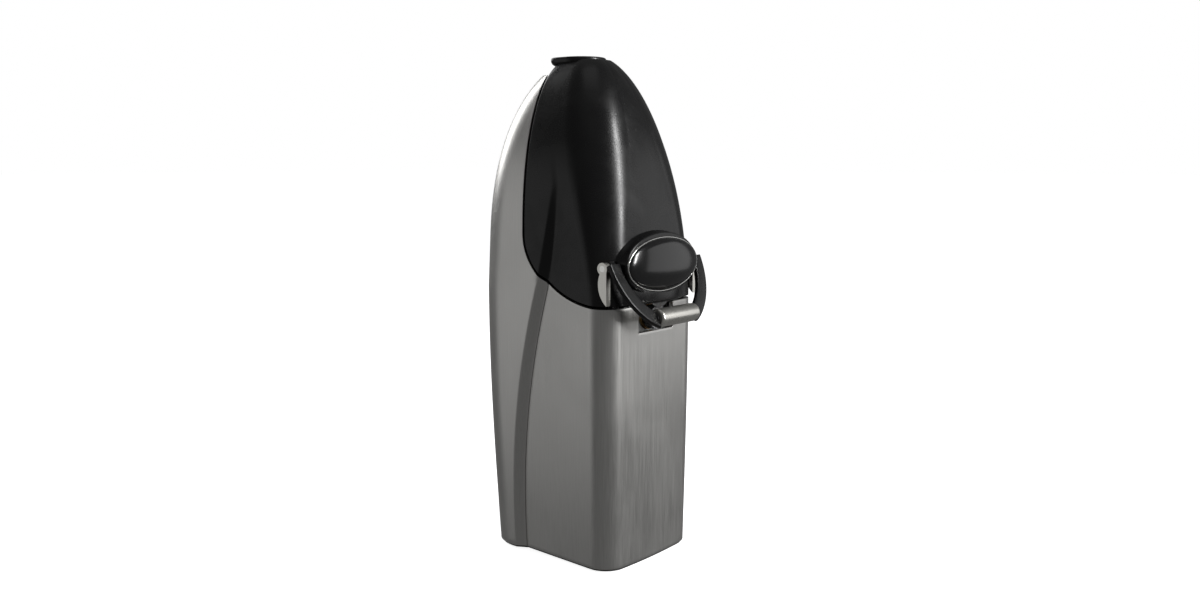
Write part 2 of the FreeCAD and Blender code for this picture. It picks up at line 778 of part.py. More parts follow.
shaft = size("shaft_radius")
running = size("axle_radius") + size("axle_play")
slow_hub = size("module_slow") * (pinion_teeth / 2 - 1.25) - 0.6
mid_hub = size("module_mid") * (pinion_teeth / 2 - 1.25) - 0.6
output_gear = wheel_gear("output_gear", "teeth_output", "module_slow", drive_at, second_at,
                         "output_back", "output_face", shaft)
second_wheel = wheel_gear("second_wheel", "teeth_second", "module_mid", second_at, first_at,
                          "second_back", "second_face", slow_hub)
first_wheel = wheel_gear("first_wheel", "teeth_first", "module_fast", first_at, motor_at,
                         "first_back", "first_face", mid_hub)


def hub(name, at, outer, back, front):
    """The plain hub behind a pinion, on which its larger wheel is pressed."""
    ring = Part.makeCylinder(outer, front - back).cut(Part.makeCylinder(running, front - back))
    made = formed(name, ring)
    made.Placement = Placement(point(at[0], back, at[1]), FORWARD)
    return made


side_gap = size("gear_side_gap")
second_teeth = pinion_gear("second_teeth", "module_slow", second_at, drive_at,
                           "output_back", "output_face", running)
second_hub = hub("second_hub", second_at, slow_hub, size("second_back") - side_gap,
                 size("output_back") - side_gap)
second_pinion = fuse("second_pinion", second_teeth, second_hub)
first_teeth = pinion_gear("first_teeth", "module_mid", first_at, second_at,
                          "second_back", "second_face", running)
first_hub = hub("first_hub", first_at, mid_hub, size("first_back") - side_gap,
                size("second_back") - side_gap)
first_pinion = fuse("first_pinion", first_teeth, first_hub)
motor_pinion = pinion_gear("motor_pinion", "module_fast", motor_at, first_at,
                           "first_back", "first_face", size("rotor_shaft"))

drive_shaft = turned("drive_shaft", ("0", "-(rear_plate_front - plate - bush_lip)",
                                     "drive_level"), FORWARD, [
    ("0", "0"), ("shaft_radius", "0"),
    ("shaft_radius", "wheel_front - rear_plate_front + plate + bush_lip"),
    ("0", "wheel_front - rear_plate_front + plate + bush_lip")])

# serrated drive wheel: a disc with notches patterned round its rim
drive_wheel = body("drive_wheel", "0", "-wheel_back", "drive_level", FORWARD)
wheel_sketch = sketch_on(drive_wheel, "XY_Plane", "wheel_outline")
draw_circle(wheel_sketch, "0", "0", "wheel_radius")
draw_circle(wheel_sketch, "0", "0", "shaft_radius")
wheel_disc = drive_wheel.newObject("PartDesign::Pad", "wheel_disc")
wheel_disc.Profile = wheel_sketch
wheel_disc.setExpression("Length", bound("wheel_front - wheel_back"))
notch_sketch = sketch_on(drive_wheel, "XY_Plane", "notch_outline")
draw_outline(notch_sketch, [("wheel_radius - wheel_notch", "0"),
                            ("wheel_radius + wheel_notch", "-wheel_notch"),
                            ("wheel_radius + wheel_notch", "wheel_notch")])
doc.recompute()
notch = drive_wheel.newObject("PartDesign::Pocket", "notch")
notch.Profile = notch_sketch
notch.Type = "ThroughAll"
notch.Reversed = True
doc.recompute()
notches = drive_wheel.newObject("PartDesign::PolarPattern", "notches")
notches.Originals = [notch]
notches.Axis = (wheel_sketch, ["N_Axis"])
notches.Angle = 360
notches.setExpression("Occurrences", bound("wheel_notches"))
drive_wheel.Tip = notches

# ------------------------------------------------------------------- motor

stator_depth = "stator_back - stator_front"
post_spots = [(at_side(side, "motor_post_side"), at_side(rise, "(stator_half_height - 4.5)"))
              for side in (-1, 1) for rise in (-1, 1)]
post_holes = [(x, z, "motor_post") for x, z in post_spots]
stator = sheet_plate("stator", (MOTOR_X, "stator_back", MOTOR_Z), FORWARD,
                     rectangle("-stator_half_width", "-stator_half_height",
                               "stator_half_width", "stator_half_height"),
                     post_holes + [("0", "0", "stator_bore")], stator_depth)
winding_room = "(stator_bore + coil_wall)"
windings = group(
    "windings",
    turned("front_winding", (MOTOR_X, "stator_front", MOTOR_Z), FORWARD,
           sleeve("stator_bore", winding_room, "stator_front * 0.8")),
    turned("rear_winding", (MOTOR_X, "stator_back + stator_front * 0.8", MOTOR_Z), FORWARD,
           sleeve("stator_bore", winding_room, "stator_front * 0.8")))
rotor = turned("rotor", (MOTOR_X, "stator_back", MOTOR_Z), FORWARD,
               sleeve("rotor_shaft", "stator_bore - rotor_gap", stator_depth))
strap_back = "(stator_back + stator_front + motor_strap)"
motor_strap = sheet_plate("motor_strap", (MOTOR_X, strap_back, MOTOR_Z), FORWARD,
                          rectangle("-stator_half_width + 2", "-stator_half_height + 2",
                                    "stator_half_width - 2", "stator_half_height - 2"),
                          post_holes + [("0", "0", "bush_radius")], "motor_strap")
post_reach = f"{strap_back} + rear_plate_front - plate"
motor_posts = group("motor_posts", *[
    turned(f"motor_post_{number}", (f"({MOTOR_X} + {x})", strap_back, f"({MOTOR_Z} + {z})"),
           FORWARD, [("0", "-screw_head"), ("motor_post * 1.5", "-screw_head"),
                     ("motor_post * 1.5", "0"), ("motor_post", "0"), ("motor_post", post_reach),
                     ("0", post_reach)])
    for number, (x, z) in enumerate(post_spots)])
motor_bushes = group(
    "motor_bushes",
    bush("motor_front_bush", "rotor_shaft + axle_play", (MOTOR_X, "-rear_plate_front", MOTOR_Z),
         BACKWARD),
    bush("motor_rear_bush", "rotor_shaft + axle_play", (MOTOR_X, strap_back, MOTOR_Z), FORWARD))
shaft_back = f"({strap_back} + 4 * motor_strap)"
rotor_length = f"{shaft_back} + first_back + first_face + gear_side_gap"
rotor_shaft = turned("rotor_shaft_piece", (MOTOR_X, shaft_back, MOTOR_Z), FORWARD, [
    ("0", "0"), ("rotor_shaft", "0"), ("rotor_shaft", rotor_length), ("0", rotor_length)])


def fan_shape():
    """A hub and slanted blades about +Z."""
    deep = 2 * size("motor_strap")
    inner = size("rotor_shaft")
    made = Part.makeCylinder(2.5 * inner, deep)
    count = int(size("fan_blades"))
    for number in range(count):
        blade = Part.makeBox(size("fan_radius") - 2 * inner, 1.0, 1.2 * deep,
                             Vector(2 * inner, -0.5, -0.1 * deep))
        blade.rotate(Vector(0, 0, deep / 2), Vector(1, 0, 0), 35)
        blade.rotate(Vector(0, 0, 0), Vector(0, 0, 1), 360 * number / count)
        made = made.fuse(blade)
    keep = Part.makeCylinder(size("fan_radius"), deep)
    return made.common(keep).cut(Part.makeCylinder(inner, deep))


fan = formed("fan", fan_shape())
fan_back = size("stator_back") + size("stator_front") + 5 * size("motor_strap")
fan.Placement = Placement(Vector(motor_at[0], fan_back, motor_at[1]), FORWARD)

# ------------------------------------------------------------------ switch

switch_front = "(output_back - plate)"
switch_half = "(plunger_radius * 2.5)"
switch_block = box("switch_block", f"2 * {switch_half}",
                   f"{switch_front} - rear_plate_front - plate / 2", f"3 * {switch_half}",
                   (f"switch_side - {switch_half}", f"-{switch_front}",
                    f"switch_level - {switch_half}"))
switch_bore = rod("switch_bore", "plunger_radius + axle_play", "6 * plunger_travel",
                  ("switch_side", f"-({switch_front} - 6 * plunger_travel)", "switch_level"),
                  FORWARD)
switch_body = cut("switch_body", switch_block, switch_bore)
switch_foot = "(standoff_high + standoff_radius + liner_gap)"
switch_bracket = box("switch_bracket", f"2 * {switch_half}", "plate / 2",
                     f"switch_level + 2 * {switch_half} - {switch_foot}",
                     (f"switch_side - {switch_half}", "-(rear_plate_front + plate / 2)",
                      switch_foot))
plunger_back = f"({switch_front} - 4 * plunger_travel)"
plunger_length = f"(body_front - wall - plunger_travel + axle_play - {plunger_back})"
switch_plunger = turned("switch_plunger", ("switch_side", f"-{plunger_back}", "switch_level"),
                        FORWARD, [("0", "0"), ("plunger_radius", "0"),
                                  ("plunger_radius", plunger_length), ("0", plunger_length)])

# ------------------------------------------------------------------- hinge

lug_high = "hinge_lug"
bracket_low = "(height - cover_drop)"
hinge_level = "(height - hinge_drop)"
hinge_y = "-hinge_forward"
bracket_parts = [box("bracket_base", "2 * bracket_half", "2 * hinge_lug", "bracket_thick",
                     ("-bracket_half", f"{hinge_y} - hinge_lug", bracket_low))]
for side in (-1, 1):
    inner = "-bracket_half" if side < 0 else "bracket_half - bracket_thick"
    bracket_parts.append(box(f"bracket_side_{side + 1}", "bracket_thick", "2 * hinge_lug",
                             f"{hinge_level} - {bracket_low}",
                             (inner, f"{hinge_y} - hinge_lug", bracket_low)))
    bracket_parts.append(rod(f"bracket_eye_{side + 1}", "hinge_lug", "bracket_thick",
                             (inner, hinge_y, hinge_level), SIDEWAYS))
pin_half = "(lug_inner + lug_thick)"
bracket_hole = rod("bracket_hole", "hinge_pin", f"2 * {pin_half}",
                   (f"-{pin_half}", hinge_y, hinge_level), SIDEWAYS)
hinge_bracket = cut("hinge_bracket", fuse("bracket_blank", *bracket_parts), bracket_hole)
hinge_pin = turned("hinge_pin_piece", (f"-{pin_half}", hinge_y, hinge_level), SIDEWAYS, [
    ("0", "0"), ("hinge_pin", "0"), ("hinge_pin", f"2 * {pin_half}"), ("0", f"2 * {pin_half}")])

# ------------------------------------------------------------------- lever

lever_skin = common("lever_skin", shell_blank, lever_region)


def tab_shape():
    """The finger tab: flat on top, beaked behind, square with round rear corners."""
    half = size("tab_half_width")
    high = size("height")
    rear = -size("tab_rear")
    root = high - size("tab_root")
    side = [(half, high), (rear + 0.8, high), (rear, high - 0.8),
            (rear + 0.4, high - size("tab_tip")), (-size("seam_back"), root),
            (half - size("seam_back"), root - 2), (half, root - 2)]
    spots = [point(-half, f, z) for f, z in side]
    block = Part.Face(Part.makePolygon(spots + spots[:1])).extrude(Vector(2 * half, 0, 0))
    corner = size("tab_corner")
    round_at = rear + half
    tall = size("roof_drop") + size("tab_root")
    low = high - tall
    plan = Part.makeCylinder(half, tall, point(0, round_at, low))
    plan = plan.fuse(Part.makeBox(2 * half, half - corner, tall, point(-half, round_at, low)))
    plan = plan.fuse(Part.makeBox(2 * (half - corner), half, tall,
                                  point(corner - half, round_at, low)))
    for sign in (-1, 1):
        spot = point(sign * (half - corner), rear + corner, low)
        plan = plan.fuse(Part.makeCylinder(corner, tall, spot))
    return block.common(plan).removeSplitter()


tab = formed("tab", tab_shape())


def oval(name, half_width, half_height, back, front):
    """An elliptical block along the forward direction at the head's level."""
    ring = Part.Ellipse(Vector(0, 0, 0), half_width, half_height)
    block = Part.Face(Part.Wire(ring.toShape())).extrude(Vector(0, 0, front - back))
    made = formed(name, block)
    made.Placement = Placement(point(0, back, size("head_level")), FORWARD)
    return made


pad = oval("pad", size("pad_half_width"), size("pad_half_height"), size("pad_back"),
           size("pad_front"))


def skirt_shape():
    """The crowned lip below the cap, as a block with a bowed front."""
    half = size("skirt_half_width")
    low = size("seam_low_level")
    front = [point(half, size("skirt_side"), low), point(0, size("skirt_front"), low),
             point(-half, size("skirt_side"), low)]
    back = [point(-half, size("pad_back"), low), point(half, size("pad_back"), low)]
    edges = [Part.Arc(*front).toShape(), Part.makeLine(front[2], back[0]),
             Part.makeLine(back[0], back[1]), Part.makeLine(back[1], front[0])]
    return Part.Face(Part.Wire(edges)).extrude(Vector(0, 0, size("head_level") - low))


skirt_block = formed("skirt_block", skirt_shape())
trim_half_width = size("cap_half_width") + size("trim_width")
trim_half_height = size("cap_half_height") + size("trim_width")
trim_room = oval("trim_room", trim_half_width, trim_half_height, size("pad_front"),
                 2 * size("pad_front"))
skirt = cut("skirt", skirt_block, trim_room)
chamber = box("chamber", "2 * (cutter_radius + chamber_room)", "pad_front", "chamber_top - cover_low",
              ("-(cutter_radius + chamber_room)", "-pad_front", "cover_low"))
head_pad = cut("head_pad", cut("head_solid", fuse("head_mass", pad, skirt), cavity), chamber)


def lug(side):
    """One hinge lug of the lever, from its round end up into the roof."""
    low = "-(lug_inner + lug_thick)" if side < 0 else "lug_inner"
    eye = rod(f"lug_eye_{side + 1}", "hinge_lug", "lug_thick", (low, hinge_y, hinge_level),
              SIDEWAYS)
    web = box(f"lug_web_{side + 1}", "lug_thick", "2 * hinge_lug", "roof_drop",
              (low, f"{hinge_y} - hinge_lug", hinge_level))
    return fuse(f"lug_{side + 1}", eye, web)


lugs = common("lugs", common("lugs_inside", fuse("lug_pair", lug(-1), lug(1)), envelope),
              lever_region)

def pivot_frame(name, shape):
    """Place a shape drawn about the bail's pivot: -Z along its arms, -Y to its face."""
    made = formed(name, shape)
    made.Placement = Placement(point(0, size("bail_forward"), size("bail_level")),
                               Rotation(Vector(1, 0, 0), -size("bail_lean")))
    return made


def ear_shape(side):
    """One flat ear in a vertical plane, a round plate trimmed clear of the bail."""
    thick = size("ear_thick")
    inner = size("ear_inner") if side > 0 else -size("ear_inner") - thick
    axis = Vector(1, 0, 0)
    disc = Part.makeCylinder(size("ear_radius"), thick,
                             point(inner, size("ear_forward"), size("ear_level")), axis)
    keep = Part.makeBox(thick, size("ear_forward"), size("height"),
                        point(inner, size("ear_clip"), 0))
    far = 4 * size("ear_radius")
    ahead = Part.makeBox(thick, far, 2 * far,
                         Vector(inner, size("ear_clear") - size("bail_offset") - far, -far))
    ahead.Placement = Placement(point(0, size("bail_forward"), size("bail_level")),
                                Rotation(axis, -size("bail_lean"))).multiply(ahead.Placement)
    lobe = Part.makeCylinder(size("ear_lobe"), thick,
                             point(inner, size("bail_forward"), size("bail_level")), axis)
    return disc.common(keep).cut(ahead).fuse(lobe).removeSplitter()


ear_pieces = [formed(f"ear_{side + 1}", ear_shape(side)) for side in (-1, 1)]
bail_y = "-bail_forward"
ear_far = "(ear_inner + ear_thick)"
knuckle_inner = "(bail_outer - (bail_outer - bail_inner) - liner_gap)"
pin_rods = []
pin_bores = []
relief_rods = []
for side in (-1, 1):
    near = f"-{ear_far}" if side < 0 else knuckle_inner
    span = f"{ear_far} - {knuckle_inner}"
    spot = (near, bail_y, "bail_level")
    pin_rods.append(turned(f"bail_pin_{side + 1}", spot, SIDEWAYS, [
        ("0", "0"), ("bail_pin", "0"), ("bail_pin", span), ("0", span)]))
    pin_bores.append(rod(f"ear_bore_{side + 1}", "bail_pin", span, spot, SIDEWAYS))
    low = "-ear_inner" if side < 0 else f"({knuckle_inner} - 2 * liner_gap)"
    relief_rods.append(rod(f"relief_{side + 1}", "bail_offset + bail_thick + 3 * liner_gap",
                           f"ear_inner - {knuckle_inner} + 2 * liner_gap",
                           (low, bail_y, "bail_level"), SIDEWAYS))
bail_ears = cut("bail_ears", group("ear_pair", *ear_pieces), fuse("ear_bores", *pin_bores))
bail_pins = group("bail_pins", *pin_rods)

lever_mass = fuse("lever_mass", lever_skin, tab, head_pad, lugs)
lever_opened = cut("lever_opened", lever_mass, chamber)
lever_slotted = cut("lever_slotted", lever_opened, group("ear_slots", *ear_pieces))
lever_relieved = cut("lever_relieved", lever_slotted, fuse("reliefs", *relief_rods))
lug_bore = rod("lug_bore", "hinge_pin + hinge_play", f"2 * {pin_half}",
               (f"-{pin_half}", hinge_y, hinge_level), SIDEWAYS)
lever_shell = cut("lever_shell", lever_relieved, lug_bore)


def arm_shape():
    """The pressed steel arm: a strip that follows the lever's front from hinge to head."""
    shoulder = size("front_shoulder")
    top = size("height") + size("dome_over") - size("arm_drop")
    half = size("arm_half_width")
    flat = size("arm_flat_level")
    low = size("arm_low")
    outlines = []
    for inset in (0, size("arm_thick")):
        deep = size("body_front") - size("arm_inset") - inset
        rise = top - inset - shoulder
        start = math.asin((flat - shoulder) / rise)
        stop = math.radians(size("arm_end_angle"))
        spots = [point(-half, deep * math.cos(a), shoulder + rise * math.sin(a))
                 for a in (start + (stop - start) * k / 12 for k in range(13))]
        outlines.append(spots)
    outer, inner = outlines
    plate_front = -outer[0].y
    inner[0] = point(-half, plate_front - size("arm_thick"), flat)
    feet = [point(-half, plate_front, low), point(-half, plate_front - size("arm_thick"), low)]
    curves = []
    for spots in (outer, inner):
        curve = Part.BSplineCurve()
        curve.interpolate(spots)
        curves.append(curve.toShape())
    edges = [Part.makeLine(feet[0], outer[0]), curves[0], Part.makeLine(outer[-1], inner[-1]),
             curves[1], Part.makeLine(inner[0], feet[1]), Part.makeLine(feet[1], feet[0])]
    wire = Part.Wire(Part.__sortEdges__(edges))
    return Part.Face(wire).extrude(Vector(2 * half, 0, 0)), plate_front


arm_solid, arm_front = arm_shape()
arm_blank = formed("arm_blank", arm_solid)
cutter_level = (size("drive_level") + size("wheel_radius") + size("cutter_radius")
                - size("cutter_overlap"))
head_front = arm_front + size("bracket_plate")
cutter_back = size("wheel_front") + size("cutter_gap")
cutter_front = cutter_back + size("cutter_thick")
screw_level = size("chamber_top") - 2 * size("screw_head_radius")
screw_side = size("bracket_plate_half") - size("screw_head_radius")
arm_holes = [Part.makeCylinder(size("screw_radius"), 3 * size("arm_thick"),
                               point(x, arm_front + 1, screw_level), Vector(0, 1, 0))
             for x in (-screw_side, screw_side)]
arm_holes.append(Part.makeCylinder(size("cutter_pin"), 3 * size("arm_thick"),
                                   point(0, arm_front + 1, cutter_level), Vector(0, 1, 0)))
arm_drill = group("arm_drill", *[formed(f"arm_hole_{k}", hole)
                                 for k, hole in enumerate(arm_holes)])
lever_arm = cut("lever_arm", arm_blank, arm_drill)


def bracket_shape():
    """The plate in front of the arm that stiffens the cutter's seat."""
    half = size("bracket_plate_half")
    thick = size("bracket_plate")
    low = size("arm_low")
    made = Part.makeBox(2 * half, thick, screw_level + size("screw_head_radius") - low,
                        point(-half, arm_front + thick, low))
    drills = [(-screw_side, screw_level, size("screw_radius")),
              (screw_side, screw_level, size("screw_radius")),
              (0, cutter_level, size("cutter_pin"))]
    for x, level, radius in drills:
        made = made.cut(Part.makeCylinder(radius, 3 * thick, point(x, head_front + 1, level),
                                          Vector(0, 1, 0)))
    return made


cutter_bracket = formed("cutter_bracket", bracket_shape())


def level_text(value):
    """A worked-out length as an expression."""
    return f"{value:.4f}"


head_screws = group("head_screws", *[
    screw(f"head_screw_{number}", (level_text(x), level_text(-head_front),
                                   level_text(screw_level)), BACKWARD, "bracket_plate + arm_thick")
    for number, x in enumerate((-screw_side, screw_side))])

# stepped pin that carries the cutter: shank in the arm, shoulder, journal and head
pin_start = arm_front - size("arm_thick")
shoulder_end = level_text(cutter_back - pin_start - 0.1)
journal_end = level_text(cutter_front - pin_start + 0.1)
shank_end = level_text(head_front - pin_start)
cutter_axle = turned("cutter_axle", ("0", level_text(-pin_start), level_text(cutter_level)),
                     FORWARD, [
    ("0", "0"), ("cutter_pin", "0"), ("cutter_pin", shank_end), ("cutter_hub", shank_end),
    ("cutter_hub", shoulder_end), ("cutter_pin", shoulder_end), ("cutter_pin", journal_end),
    ("cutter_hub", journal_end), ("cutter_hub", f"{journal_end} + cutter_head"),
    ("0", f"{journal_end} + cutter_head")])
cutter_wheel = turned("cutter_wheel", ("0", level_text(-cutter_back), level_text(cutter_level)),
                      FORWARD, [
    ("cutter_pin + cutter_play", "0"), ("cutter_radius - 2.5", "0"),
    ("cutter_radius", "cutter_thick * 0.5"), ("cutter_radius - 2.5", "cutter_thick"),
    ("cutter_pin + cutter_play", "cutter_thick")])


def domed(half_width, half_height, depth, rim):
    """Half an ellipsoid bulging along +Z on a short straight rim."""
    ball = Part.makeSphere(1.0)
    stretch = FreeCAD.Matrix()
    stretch.scale(half_width, half_height, depth)
    dome_half = ball.transformGeometry(stretch).common(
        Part.makeBox(4 * half_width, 4 * half_width, depth,
                     Vector(-2 * half_width, -2 * half_width, 0)))
    dome_half.translate(Vector(0, 0, rim))
    ring = Part.Face(Part.Wire(Part.Ellipse(Vector(0, 0, 0), half_width, half_height).toShape()))
    return ring.extrude(Vector(0, 0, rim)).fuse(dome_half).removeSplitter()


cap_thin = size("cap_wall")
cap_outer = domed(size("cap_half_width"), size("cap_half_height"),
                  size("cap_dome") - size("cap_rim"), size("cap_rim"))
cap_hollow = domed(size("cap_half_width") - cap_thin, size("cap_half_height") - cap_thin,
                   size("cap_dome") - size("cap_rim") - cap_thin, size("cap_rim"))
cap = formed("cap", cap_outer.cut(cap_hollow))
cap.Placement = Placement(point(0, size("pad_front"), size("head_level")), FORWARD)


def trim_shape():
    """The thin raised ring that frames the cap."""
    high = size("cap_rim") + size("trim_width") / 2
    blocks = []
    for extra in (size("trim_width"), 0):
        curve = Part.Ellipse(Vector(0, 0, 0), size("cap_half_width") + extra,
                             size("cap_half_height") + extra)
        blocks.append(Part.Face(Part.Wire(curve.toShape())).extrude(Vector(0, 0, high)))
    return blocks[0].cut(blocks[1])


trim_ring = formed("trim_ring", trim_shape())
trim_ring.Placement = Placement(point(0, size("pad_front"), size("head_level")), FORWARD)

# -------------------------------------------------------------------- bail


def bail_shape():
    """Two arms cut from a flat ring, a knuckle on each and a cross pin between them."""
    outer = size("bail_outer")
    inner = size("bail_inner")
    thick = size("bail_thick")
    start = -size("bail_offset")
    back = Vector(0, -1, 0)
    ring = Part.makeCylinder(outer, thick, Vector(0, start, 0), back)
    ring = ring.cut(Part.makeCylinder(inner, thick, Vector(0, start, 0), back))
    half = size("magnet_half_length") + size("bail_play")
    axis = Vector(1, 0, 0)
    knuckle_from = inner - size("liner_gap")
    knuckle_to = size("ear_inner") - size("liner_gap")
    made = None
    for side in (-1, 1):
        near = half if side > 0 else -outer
        arm = ring.common(Part.makeBox(outer - half, 2 * outer, outer,
                                       Vector(near, -outer, -outer)))
        low = knuckle_from if side > 0 else -knuckle_to
        span = knuckle_to - knuckle_from
        knuckle = Part.makeCylinder(size("bail_knuckle"), span, Vector(low, 0, 0), axis)
        web = Part.makeBox(span, size("bail_offset") + thick, size("bail_knuckle"),
                           Vector(low, start - thick, -size("bail_knuckle")))
        piece = arm.fuse(knuckle).fuse(web)
        piece = piece.cut(Part.makeCylinder(size("bail_pin") + size("bail_play"), span,
                                            Vector(low, 0, 0), axis))
        made = piece if made is None else made.fuse(piece)
    reach = size("magnet_reach")
    cross = Part.makeCylinder(size("magnet_bore"), 2 * half + 2,
                              Vector(-half - 1, start - thick / 2, -reach), axis)
    return made.fuse(cross).removeSplitter()


bail = pivot_frame("bail", bail_shape())


def magnet_shape():
    """A tubular bar magnet with rounded ends."""
    half = size("magnet_half_length")
    radius = size("magnet_radius")
    spot = Vector(-half, -size("bail_offset") - size("bail_thick") / 2, -size("magnet_reach"))
    bar = Part.makeCylinder(radius, 2 * half, spot, Vector(1, 0, 0))
    ends = [edge for edge in bar.Edges if len(edge.Vertexes) == 1]
    bar = bar.makeFillet(radius / 4, ends)
    return bar.cut(Part.makeCylinder(size("magnet_bore"), 2 * half, spot, Vector(1, 0, 0)))


magnet = pivot_frame("magnet", magnet_shape())

# ------------------------------------------------------------------ export

PARTS = {
    "rear_shell": rear_shell, "front_shell": front_shell, "base_plate": base_plate,
    "feet": feet, "base_screws": base_screws, "cord_inlet": cord_inlet,
    "inner_cover": inner_cover, "front_plate": front_plate, "rear_plate": rear_plate,
    "foot_bracket": foot_bracket, "foot_screw": foot_screw, "standoffs": standoffs,
    "plate_screws": plate_screws, "first_axle": first_axle, "second_axle": second_axle,
    "shaft_bushes": shaft_bushes, "output_gear": output_gear, "drive_shaft": drive_shaft,
    "drive_wheel": drive_wheel, "second_wheel": second_wheel, "second_pinion": second_pinion,
    "first_wheel": first_wheel, "first_pinion": first_pinion, "motor_pinion": motor_pinion,
    "stator": stator, "windings": windings, "rotor": rotor, "rotor_shaft": rotor_shaft,
    "fan": fan, "motor_strap": motor_strap, "motor_posts": motor_posts,
    "motor_bushes": motor_bushes, "switch_body": switch_body,
    "switch_bracket": switch_bracket, "switch_plunger": switch_plunger,
    "hinge_bracket": hinge_bracket, "hinge_pin": hinge_pin, "lever_shell": lever_shell,
    "lever_arm": lever_arm, "cutter_bracket": cutter_bracket, "head_screws": head_screws,
    "cutter_axle": cutter_axle, "cutter_wheel": cutter_wheel, "cap": cap,
    "trim_ring": trim_ring, "bail_ears": bail_ears, "bail_pins": bail_pins, "bail": bail,
    "magnet": magnet,
}

doc.recompute()
faults = [f"{thing.Name}: {thing.State}" for thing in doc.Objects
          if "Invalid" in thing.State or "Error" in thing.State]
for node, thing in PARTS.items():
    thing.Label = node
    if thing.Shape.isNull() or not thing.Shape.isValid() or thing.Shape.Volume <= 0:
        faults.append(f"{node}: its shape is null or not valid")
disc_volume = math.pi * (size("wheel_radius") ** 2 - size("shaft_radius") ** 2) * (
    size("wheel_front") - size("wheel_back"))
if drive_wheel.Shape.Volume > 0.99 * disc_volume:
    faults.append("drive_wheel: its notches are missing")
if faults:
    raise RuntimeError("; ".join(faults))

os.makedirs("parts", exist_ok=True)
for node, thing in PARTS.items():
    thing.Shape.exportStep(f"parts/{node}.step")
print(len(PARTS), "sub-parts written")
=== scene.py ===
import json
import math

import bmesh
import bpy
import numpy as np
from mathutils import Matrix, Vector


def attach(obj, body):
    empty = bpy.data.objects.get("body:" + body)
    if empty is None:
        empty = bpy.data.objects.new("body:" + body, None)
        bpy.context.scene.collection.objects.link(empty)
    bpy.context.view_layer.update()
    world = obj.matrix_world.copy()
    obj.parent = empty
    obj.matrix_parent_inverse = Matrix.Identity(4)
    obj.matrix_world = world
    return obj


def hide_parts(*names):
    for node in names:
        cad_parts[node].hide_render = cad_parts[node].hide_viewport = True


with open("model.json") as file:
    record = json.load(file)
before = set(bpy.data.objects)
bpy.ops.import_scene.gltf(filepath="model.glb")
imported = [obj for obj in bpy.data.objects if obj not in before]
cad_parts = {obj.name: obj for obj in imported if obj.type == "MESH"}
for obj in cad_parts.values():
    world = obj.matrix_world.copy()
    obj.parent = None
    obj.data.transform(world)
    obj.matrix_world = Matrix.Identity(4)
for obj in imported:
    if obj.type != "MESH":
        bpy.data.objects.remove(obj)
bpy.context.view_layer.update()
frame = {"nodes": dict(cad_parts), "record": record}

bl_info = {
    "name": "Electric can opener",
    "version": (1, 0, 0),
    "blender": (4, 5, 0),
    "location": "3D View > Sidebar > Can Opener",
    "description": "Builds the shells, head, bail and finishes of an electric can opener",
    "category": "Object",
}

MM = 0.001
TURN = 2 * math.pi
QUARTER = math.pi / 2

# Coordinates: +Z up, the front faces -Y. "Forward" distances run towards -Y.


def length(name, text, value):
    """A length property whose default is given in millimetres."""
    return bpy.props.FloatProperty(name=name, description=text, default=value * MM,
                                   unit="LENGTH", precision=5)


def colour(name, text, value):
    return bpy.props.FloatVectorProperty(name=name, description=text, default=value,
                                         subtype="COLOR", size=3, min=0, max=1)


class OpenerShape(bpy.types.PropertyGroup):
    height: length("Height", "Top of the finger tab above the table", 250)
    dome_over: length("Dome over", "How far the dome's curve would rise past its flat top", 1.5)
    base_half: length("Base half width", "Half the width at the base", 34.5)
    body_half: length("Body half width", "Half the width at the belly", 36.5)
    base_rear: length("Base rear", "Rear face behind the origin at the base", 43.3)
    body_rear: length("Body rear", "Rear face behind the origin at the belly", 48.4)
    base_front: length("Base front", "Front face ahead of the origin at the base", 40.4)
    body_front: length("Body front", "Front face ahead of the origin at the belly", 41.2)
    crown: length("Crown", "Bulge of the front face", 0.8)
    front_corner: length("Front corner", "Radius of the two front corners", 12)
    rear_corner: length("Rear corner", "Radius of the two rear corners", 19)
    belly: length("Belly", "Level at which the body is widest", 130)
    side_shoulder: length("Side shoulder", "Level at which sides and rear lean in", 160)
    front_shoulder: length("Front shoulder", "Level at which the front leans in", 135)
    step_inset: length("Step", "How far the front shell sits inside the rear one", 3)
    step_top: length("Step top", "Level at which the step has come fully forward", 187)
    step_end: length("Step end", "Level at which the step has faded out", 205)
    step_fade: length("Step fade", "Height over which the step fades out", 65)
    wall: length("Wall", "Thickness of the shells", 2.4)
    seam_gap: length("Seam gap", "Gap between the lever and the body", 1.4)
    seam_back: length("Seam back", "The seam's upright stretch behind the origin", 12)
    seam_low: length("Seam foot", "Lowest level of the lever's edge", 130.8)
    seam_turn: length("Seam turn", "Level at which the seam leaves the upright", 163)
    seam_ahead: length("Seam ahead", "Where the seam's curve ends, ahead of the origin", 36)
    shell_foot: length("Shell foot", "Lowest level of the metal shells", 1.6)
    rear_top: length("Rear top", "Level of the rear shell's cut under the tab", 241)
    tab_half: length("Tab half width", "Half the width of the finger tab", 12.5)
    tab_rear: length("Tab rear", "Tip of the finger tab behind the origin", 18.5)
    recess_half: length("Recess half width", "Half the width of the drive wheel's recess", 14)
    recess_low: length("Recess foot", "Lowest level of that recess", 116.4)


